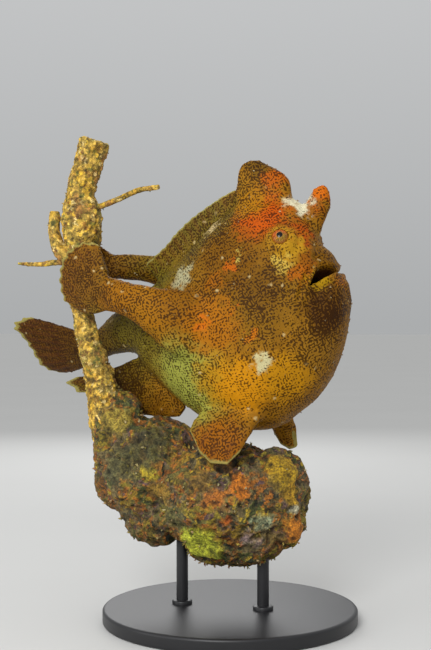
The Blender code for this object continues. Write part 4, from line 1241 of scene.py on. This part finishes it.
for word, (centre, out) in eyes.items():
    points, faces = eye_ball(centre, out)
    turn = np.array(out.to_track_quat("Z", "Y").to_matrix())
    ball = object_of("eye_ball_" + word, [(points @ turn.T + np.array(centre), faces)], MM)
    local = (points_of(ball.data) / MM - np.array(centre)) @ turn
    gaze = ball.data.attributes.new("gaze", "FLOAT_VECTOR", "POINT")
    gaze.data.foreach_set("vector", local.astype(np.float32).ravel())
    dressed(ball, eye_skin)
    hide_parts("eye_" + word)


# Lure: the first dorsal spine, a thin bare rod laid back beside the second spine, with a small
# frilled bait of skin at its tip.
ILLICIUM = [
    (74, 5, 322, 1.5), (75, 9.5, 333, 1.2), (73, 13, 342.5, 1), (68, 15, 348.5, 0.9),
    (62.5, 16, 349.5, 0.9), (58, 16, 348.5, 1),
]
ESCA_CENTRE = np.array((56.5, 16, 347.5))
lure_skin, tree, shader = new_material("thin_lure_skin", Roughness=0.5)
place = node(tree, "ShaderNodeTexCoord").outputs["Object"]
bands = node(tree, "ShaderNodeTexNoise", {"Vector": place, "Scale": 420.0, "Detail": 3.0})
tone = node(tree, "ShaderNodeMapRange", {0: bands.outputs[0], 1: 0.42, 2: 0.58})
tone = node(
    tree,
    "ShaderNodeMix",
    {0: tone.outputs[0], 6: hex_colour("#d8bd86"), 7: hex_colour("#7a4f22")},
    data_type="RGBA",
)
bump = node(tree, "ShaderNodeBump", {"Height": bands.outputs[0], "Distance": 0.0003, "Strength": 0.5})
tree.links.new(tone.outputs[2], shader.inputs["Base Color"])
tree.links.new(bump.outputs[0], shader.inputs["Normal"])
rod = object_of("lure_rod", [tube(ILLICIUM, 60, 16)], MM)
dressed(rod, lure_skin)
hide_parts("illicium")
threads = []
dice = np.random.default_rng(5)
for index in range(30):
    lift = 1 - 2 * (index + 0.5) / 30
    angle = index * 2.39996
    way = np.array(
        (math.cos(angle) * math.sqrt(1 - lift**2), math.sin(angle) * math.sqrt(1 - lift**2), lift)
    )
    long = dice.uniform(3.6, 5.6)
    bend = dice.normal(0, 0.6, 3)
    rows = [
        (*(ESCA_CENTRE + way * long * s + bend * s * s), 0.75 * (1 - 0.7 * s)) for s in (0, 0.35, 0.7, 1)
    ]
    threads.append(tube(rows, 7, 8, (0.3, 0.5, 0.8)))
bait = object_of("lure_bait", [ellipsoid(ESCA_CENTRE, (2.6, 2.4, 2.8), 20, 12), *threads], MM)
dressed(bait, lure_skin)
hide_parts("esca")


# Skin tags: small ragged flaps of skin, each of one tone from brown to pale, that break up the
# fish's outline. They stand thickest on the chin, the back and the head spines.
def wisp(rng, prongs, spread):
    """A tuft one unit tall of thin tapering prongs that part from one foot."""
    threads = []
    for index in range(prongs):
        angle = 2 * math.pi * (index + rng.uniform(-0.3, 0.3)) / prongs
        lean = spread * rng.uniform(0.3, 1.0)
        tip = np.array((math.cos(angle) * lean, math.sin(angle) * lean, rng.uniform(0.45, 1.0)))
        rows = [(*(tip * s + (0, 0, -0.12)), 0.17 * (1 - 0.6 * s)) for s in (0, 0.5, 1)]
        threads.append(tube(rows, 3, 3, (0.3, 0.5, 0.8)))
    return threads


def tuft_tree():
    """Geometry nodes that strew a shape over a surface, more of it where the surface is tufted."""
    tree = bpy.data.node_groups.new("strewn_tufts", "GeometryNodeTree")
    kinds = {"Ground": "Object", "Shape": "Object", "Density": "Float", "Shortest": "Float",
             "Longest": "Float", "Seed": "Int", "Finish": "Material"}
    for name, kind in kinds.items():
        tree.interface.new_socket(name, in_out="INPUT", socket_type="NodeSocket" + kind)
    tree.interface.new_socket("Tufts", in_out="OUTPUT", socket_type="NodeSocketGeometry")
    given, result = tree.nodes.new("NodeGroupInput"), tree.nodes.new("NodeGroupOutput")
    ground = node(tree, "GeometryNodeObjectInfo", {"Object": given.outputs["Ground"]})
    shape = node(tree, "GeometryNodeObjectInfo", {"Object": given.outputs["Shape"], "As Instance": True})
    tufted = node(tree, "GeometryNodeInputNamedAttribute", {"Name": "tufted"}, data_type="FLOAT")
    density = node(
        tree,
        "ShaderNodeMath",
        {0: tufted.outputs["Attribute"], 1: given.outputs["Density"]},
        operation="MULTIPLY",
    )
    feet = node(
        tree,
        "GeometryNodeDistributePointsOnFaces",
        {
            "Mesh": ground.outputs["Geometry"],
            "Density": density.outputs[0],
            "Seed": given.outputs["Seed"],
        },
    )
    twist = node(
        tree,
        "FunctionNodeRandomValue",
        {0: (-0.6, -0.6, 0), 1: (0.6, 0.6, 6.28)},
        data_type="FLOAT_VECTOR",
    )
    stand = node(
        tree,
        "FunctionNodeRotateRotation",
        {"Rotation": feet.outputs["Rotation"], "Rotate By": twist.outputs[0]},
        rotation_space="LOCAL",
    )
    size = node(
        tree,
        "FunctionNodeRandomValue",
        {2: given.outputs["Shortest"], 3: given.outputs["Longest"]},
        data_type="FLOAT",
    )
    placed = node(
        tree,
        "GeometryNodeInstanceOnPoints",
        {"Points": feet.outputs["Points"], "Instance": shape.outputs["Geometry"],
         "Rotation": stand.outputs[0], "Scale": size.outputs[1]},
    )
    shade = node(tree, "FunctionNodeRandomValue", {2: 0.0, 3: 1.0, "Seed": 4}, data_type="FLOAT")
    tinted = node(
        tree,
        "GeometryNodeStoreNamedAttribute",
        {"Geometry": placed.outputs[0], "Name": "tint", "Value": shade.outputs[1]},
        data_type="FLOAT",
        domain="INSTANCE",
    )
    real = node(tree, "GeometryNodeRealizeInstances", {"Geometry": tinted.outputs[0]})
    painted = node(
        tree,
        "GeometryNodeSetMaterial",
        {"Geometry": real.outputs[0], "Material": given.outputs["Finish"]},
    )
    tree.links.new(painted.outputs[0], result.inputs[0])
    return tree


def strewn(name, values):
    """A mesh of the tufts that the tree strews with the given sizes."""
    made = bpy.data.objects.new(name, bpy.data.meshes.new(name))
    bpy.context.scene.collection.objects.link(made)
    strew = made.modifiers.new("strew", "NODES")
    strew.node_group = tufts
    for item in tufts.interface.items_tree:
        if item.in_out == "INPUT":
            strew[item.identifier] = values[item.name]
    baked(made)
    return made


tufts = tuft_tree()
spots, outward = points_of(body.data) / MM, normals_of(body.data)
tufted = np.full(len(spots), 0.12)
TUFTED = [
    ((95, 20, 262), 26, 0.7), ((84, 30, 225), 26, 0.5), ((78, 5, 350), 26, 0.5), ((28, 5, 375), 30, 0.6),
    ((-10, 5, 340), 34, 0.7),
    ((-60, 10, 300), 34, 0.5),
    ((60, 36, 305), 20, 0.4),
    ((5, 45, 160), 30, 0.3),
]
for centre, reach, amount in TUFTED:
    off = np.linalg.norm(spots * [1, 0, 1] + [0, 1, 0] * np.abs(spots[:, 1:2]) - centre, axis=1)
    tufted += amount * np.clip(1.3 - off / reach, 0, 1)
for word, (centre, out) in eyes.items():
    tufted *= np.linalg.norm(spots - np.array(centre), axis=1) > 12
lining = np.empty(len(spots), np.float32)
body.data.attributes["mouth"].data.foreach_get("value", lining)
tufted *= lining < 0.05
kept(body.data, "tufted", tufted)

# Skin of the tags: thin, each tag of one tone between brown and pale.
tag_skin, tree, shader = new_material("thin_skin_flaps", Roughness=0.5)
shader.inputs["Specular IOR Level"].default_value = 0.2
tint = node(tree, "ShaderNodeAttribute", attribute_name="tint")
tone = node(tree, "ShaderNodeValToRGB", {0: tint.outputs["Fac"]})
TAG_TONES = [(0.0, "#7a4a12"), (0.35, "#a8701f"), (0.7, "#b89a58"), (1.0, "#d8c9a0")]
for index, (spot, shade) in enumerate(TAG_TONES):
    stop = tone.color_ramp.elements[index] if index < 2 else tone.color_ramp.elements.new(spot)
    stop.position = spot
    stop.color = hex_colour(shade)
place = node(tree, "ShaderNodeTexCoord").outputs["Object"]
grain = node(tree, "ShaderNodeTexNoise", {"Vector": place, "Scale": 900.0})
grain = node(tree, "ShaderNodeMapRange", {0: grain.outputs[0], 1: 0.3, 2: 0.7, 3: 0.6, 4: 1.15})
shaded = node(
    tree, "ShaderNodeVectorMath", {0: tone.outputs[0], "Scale": grain.outputs[0]}, operation="SCALE"
)
tree.links.new(shaded.outputs[0], shader.inputs["Base Color"])
dice = np.random.default_rng(8)
tag = object_of("tag_shape", wisp(dice, 3, 0.35))
tags = strewn(
    "skin_tags",
    {"Ground": body, "Shape": tag, "Density": 9000.0, "Shortest": 0.0010, "Longest": 0.0026, "Seed": 3,
     "Finish": tag_skin},
)
bpy.data.objects.remove(tag)
dressed(tags, tag_skin)


# Tufts of the crust: short fronds, threads and feathery polyps that grow on the lump and the
# branch, yellow, olive and off-white. They keep clear of the fish's hands and fins.
frond_skin, tree, shader = new_material("soft_growth_fronds", Roughness=0.7)
tint = node(tree, "ShaderNodeAttribute", attribute_name="tint")
tone = node(tree, "ShaderNodeValToRGB", {0: tint.outputs["Fac"]})
FRONDS = [(0.0, "#4c4a20"), (0.25, "#8a7c30"), (0.5, "#b89c3a"), (0.75, "#c9bd8c"), (1.0, "#a8622a")]
for index, (spot, shade) in enumerate(FRONDS):
    stop = tone.color_ramp.elements[index] if index < 2 else tone.color_ramp.elements.new(spot)
    stop.position = spot
    stop.color = hex_colour(shade)
place = node(tree, "ShaderNodeTexCoord").outputs["Object"]
grain = node(tree, "ShaderNodeTexNoise", {"Vector": place, "Scale": 700.0})
grain = node(tree, "ShaderNodeMapRange", {0: grain.outputs[0], 1: 0.3, 2: 0.7, 3: 0.6, 4: 1.15})
shaded = node(
    tree, "ShaderNodeVectorMath", {0: tone.outputs[0], "Scale": grain.outputs[0]}, operation="SCALE"
)
tree.links.new(shaded.outputs[0], shader.inputs["Base Color"])
for name, ground, slot, density, longest in (
    ("knob_fronds", knob, "crust", 15000.0, 0.0040),
    ("branch_fronds", branch, "branch", 11000.0, 0.0028),
):
    spots = points_of(ground.data) / MM
    room = np.full(len(spots), 9.0)
    for shape in limb_trees[4:]:
        room = np.minimum(room, span_to(shape, spots, 9.0))
    patchy = np.clip(rough_at(spots, 16.0, (8, 1, 3)) * 2 + 0.5, 0.05, 1)
    kept(ground.data, "tufted", patchy * (room > 8))
    shape = object_of("frond_shape", wisp(dice, 5, 0.45))
    fronds = strewn(
        name,
        {"Ground": ground, "Shape": shape, "Density": density, "Shortest": 0.001,
         "Longest": longest, "Seed": 6,
         "Finish": frond_skin},
    )
    bpy.data.objects.remove(shape)
    dressed(fronds, frond_skin)


# Floor and light: a wide pale studio floor under a pale, even sky, and large soft lights, the
# main one high in front on the fish's head side.
def sheet(name, half):
    made = bpy.data.meshes.new(name)
    made.from_pydata(
        [(-half, -half, 0), (half, -half, 0), (half, half, 0), (-half, half, 0)], [], [(0, 1, 2, 3)]
    )
    made = bpy.data.objects.new(name, made)
    bpy.context.scene.collection.objects.link(made)
    return made


floor = sheet("studio_floor", 30.0)
paint, tree, shader = new_material("matt_floor_paint", Roughness=0.9)
place = node(tree, "ShaderNodeTexCoord").outputs["Object"]
tone = node(tree, "ShaderNodeTexNoise", {"Vector": place, "Scale": 3.0})
tone = node(
    tree,
    "ShaderNodeMix",
    {0: tone.outputs[0], 6: hex_colour("#c9c9c7"), 7: hex_colour("#cececc")},
    data_type="RGBA",
)
tree.links.new(tone.outputs[2], shader.inputs["Base Color"])
floor.data.materials.append(paint)

world = bpy.data.worlds.new("studio")
world.use_nodes = True
sky = world.node_tree
way = node(sky, "ShaderNodeSeparateXYZ", {0: node(sky, "ShaderNodeTexCoord").outputs["Generated"]})
rise = node(sky, "ShaderNodeMapRange", {0: way.outputs[2], 1: 0.0, 2: 0.6})
tone = node(
    sky,
    "ShaderNodeMix",
    {0: rise.outputs[0], 6: hex_colour("#bdbfc0"), 7: hex_colour("#f2f3f4")},
    data_type="RGBA",
)
sky.links.new(tone.outputs[2], sky.nodes["Background"].inputs[0])
sky.nodes["Background"].inputs[1].default_value = 0.8
bpy.context.scene.world = world
bpy.context.scene.view_settings.view_transform = "Standard"
LIGHTS = [
    ("key", (0.0, -1.35, 0.9), 0.55, 15.0),
    ("fill", (-1.0, -0.8, 0.3), 0.8, 3.0),
    ("rim", (-0.6, 1.3, 0.9), 0.8, 6.0),
]
for name, spot, size, power in LIGHTS:
    lamp = bpy.data.objects.new(name, bpy.data.lights.new(name, "AREA"))
    lamp.data.size = size
    lamp.data.energy = power
    lamp.location = spot
    lamp.rotation_euler = (Vector(spot) - Vector((-0.01, 0, 0.25))).to_track_quat("Z", "Y").to_euler()
    bpy.context.scene.collection.objects.link(lamp)
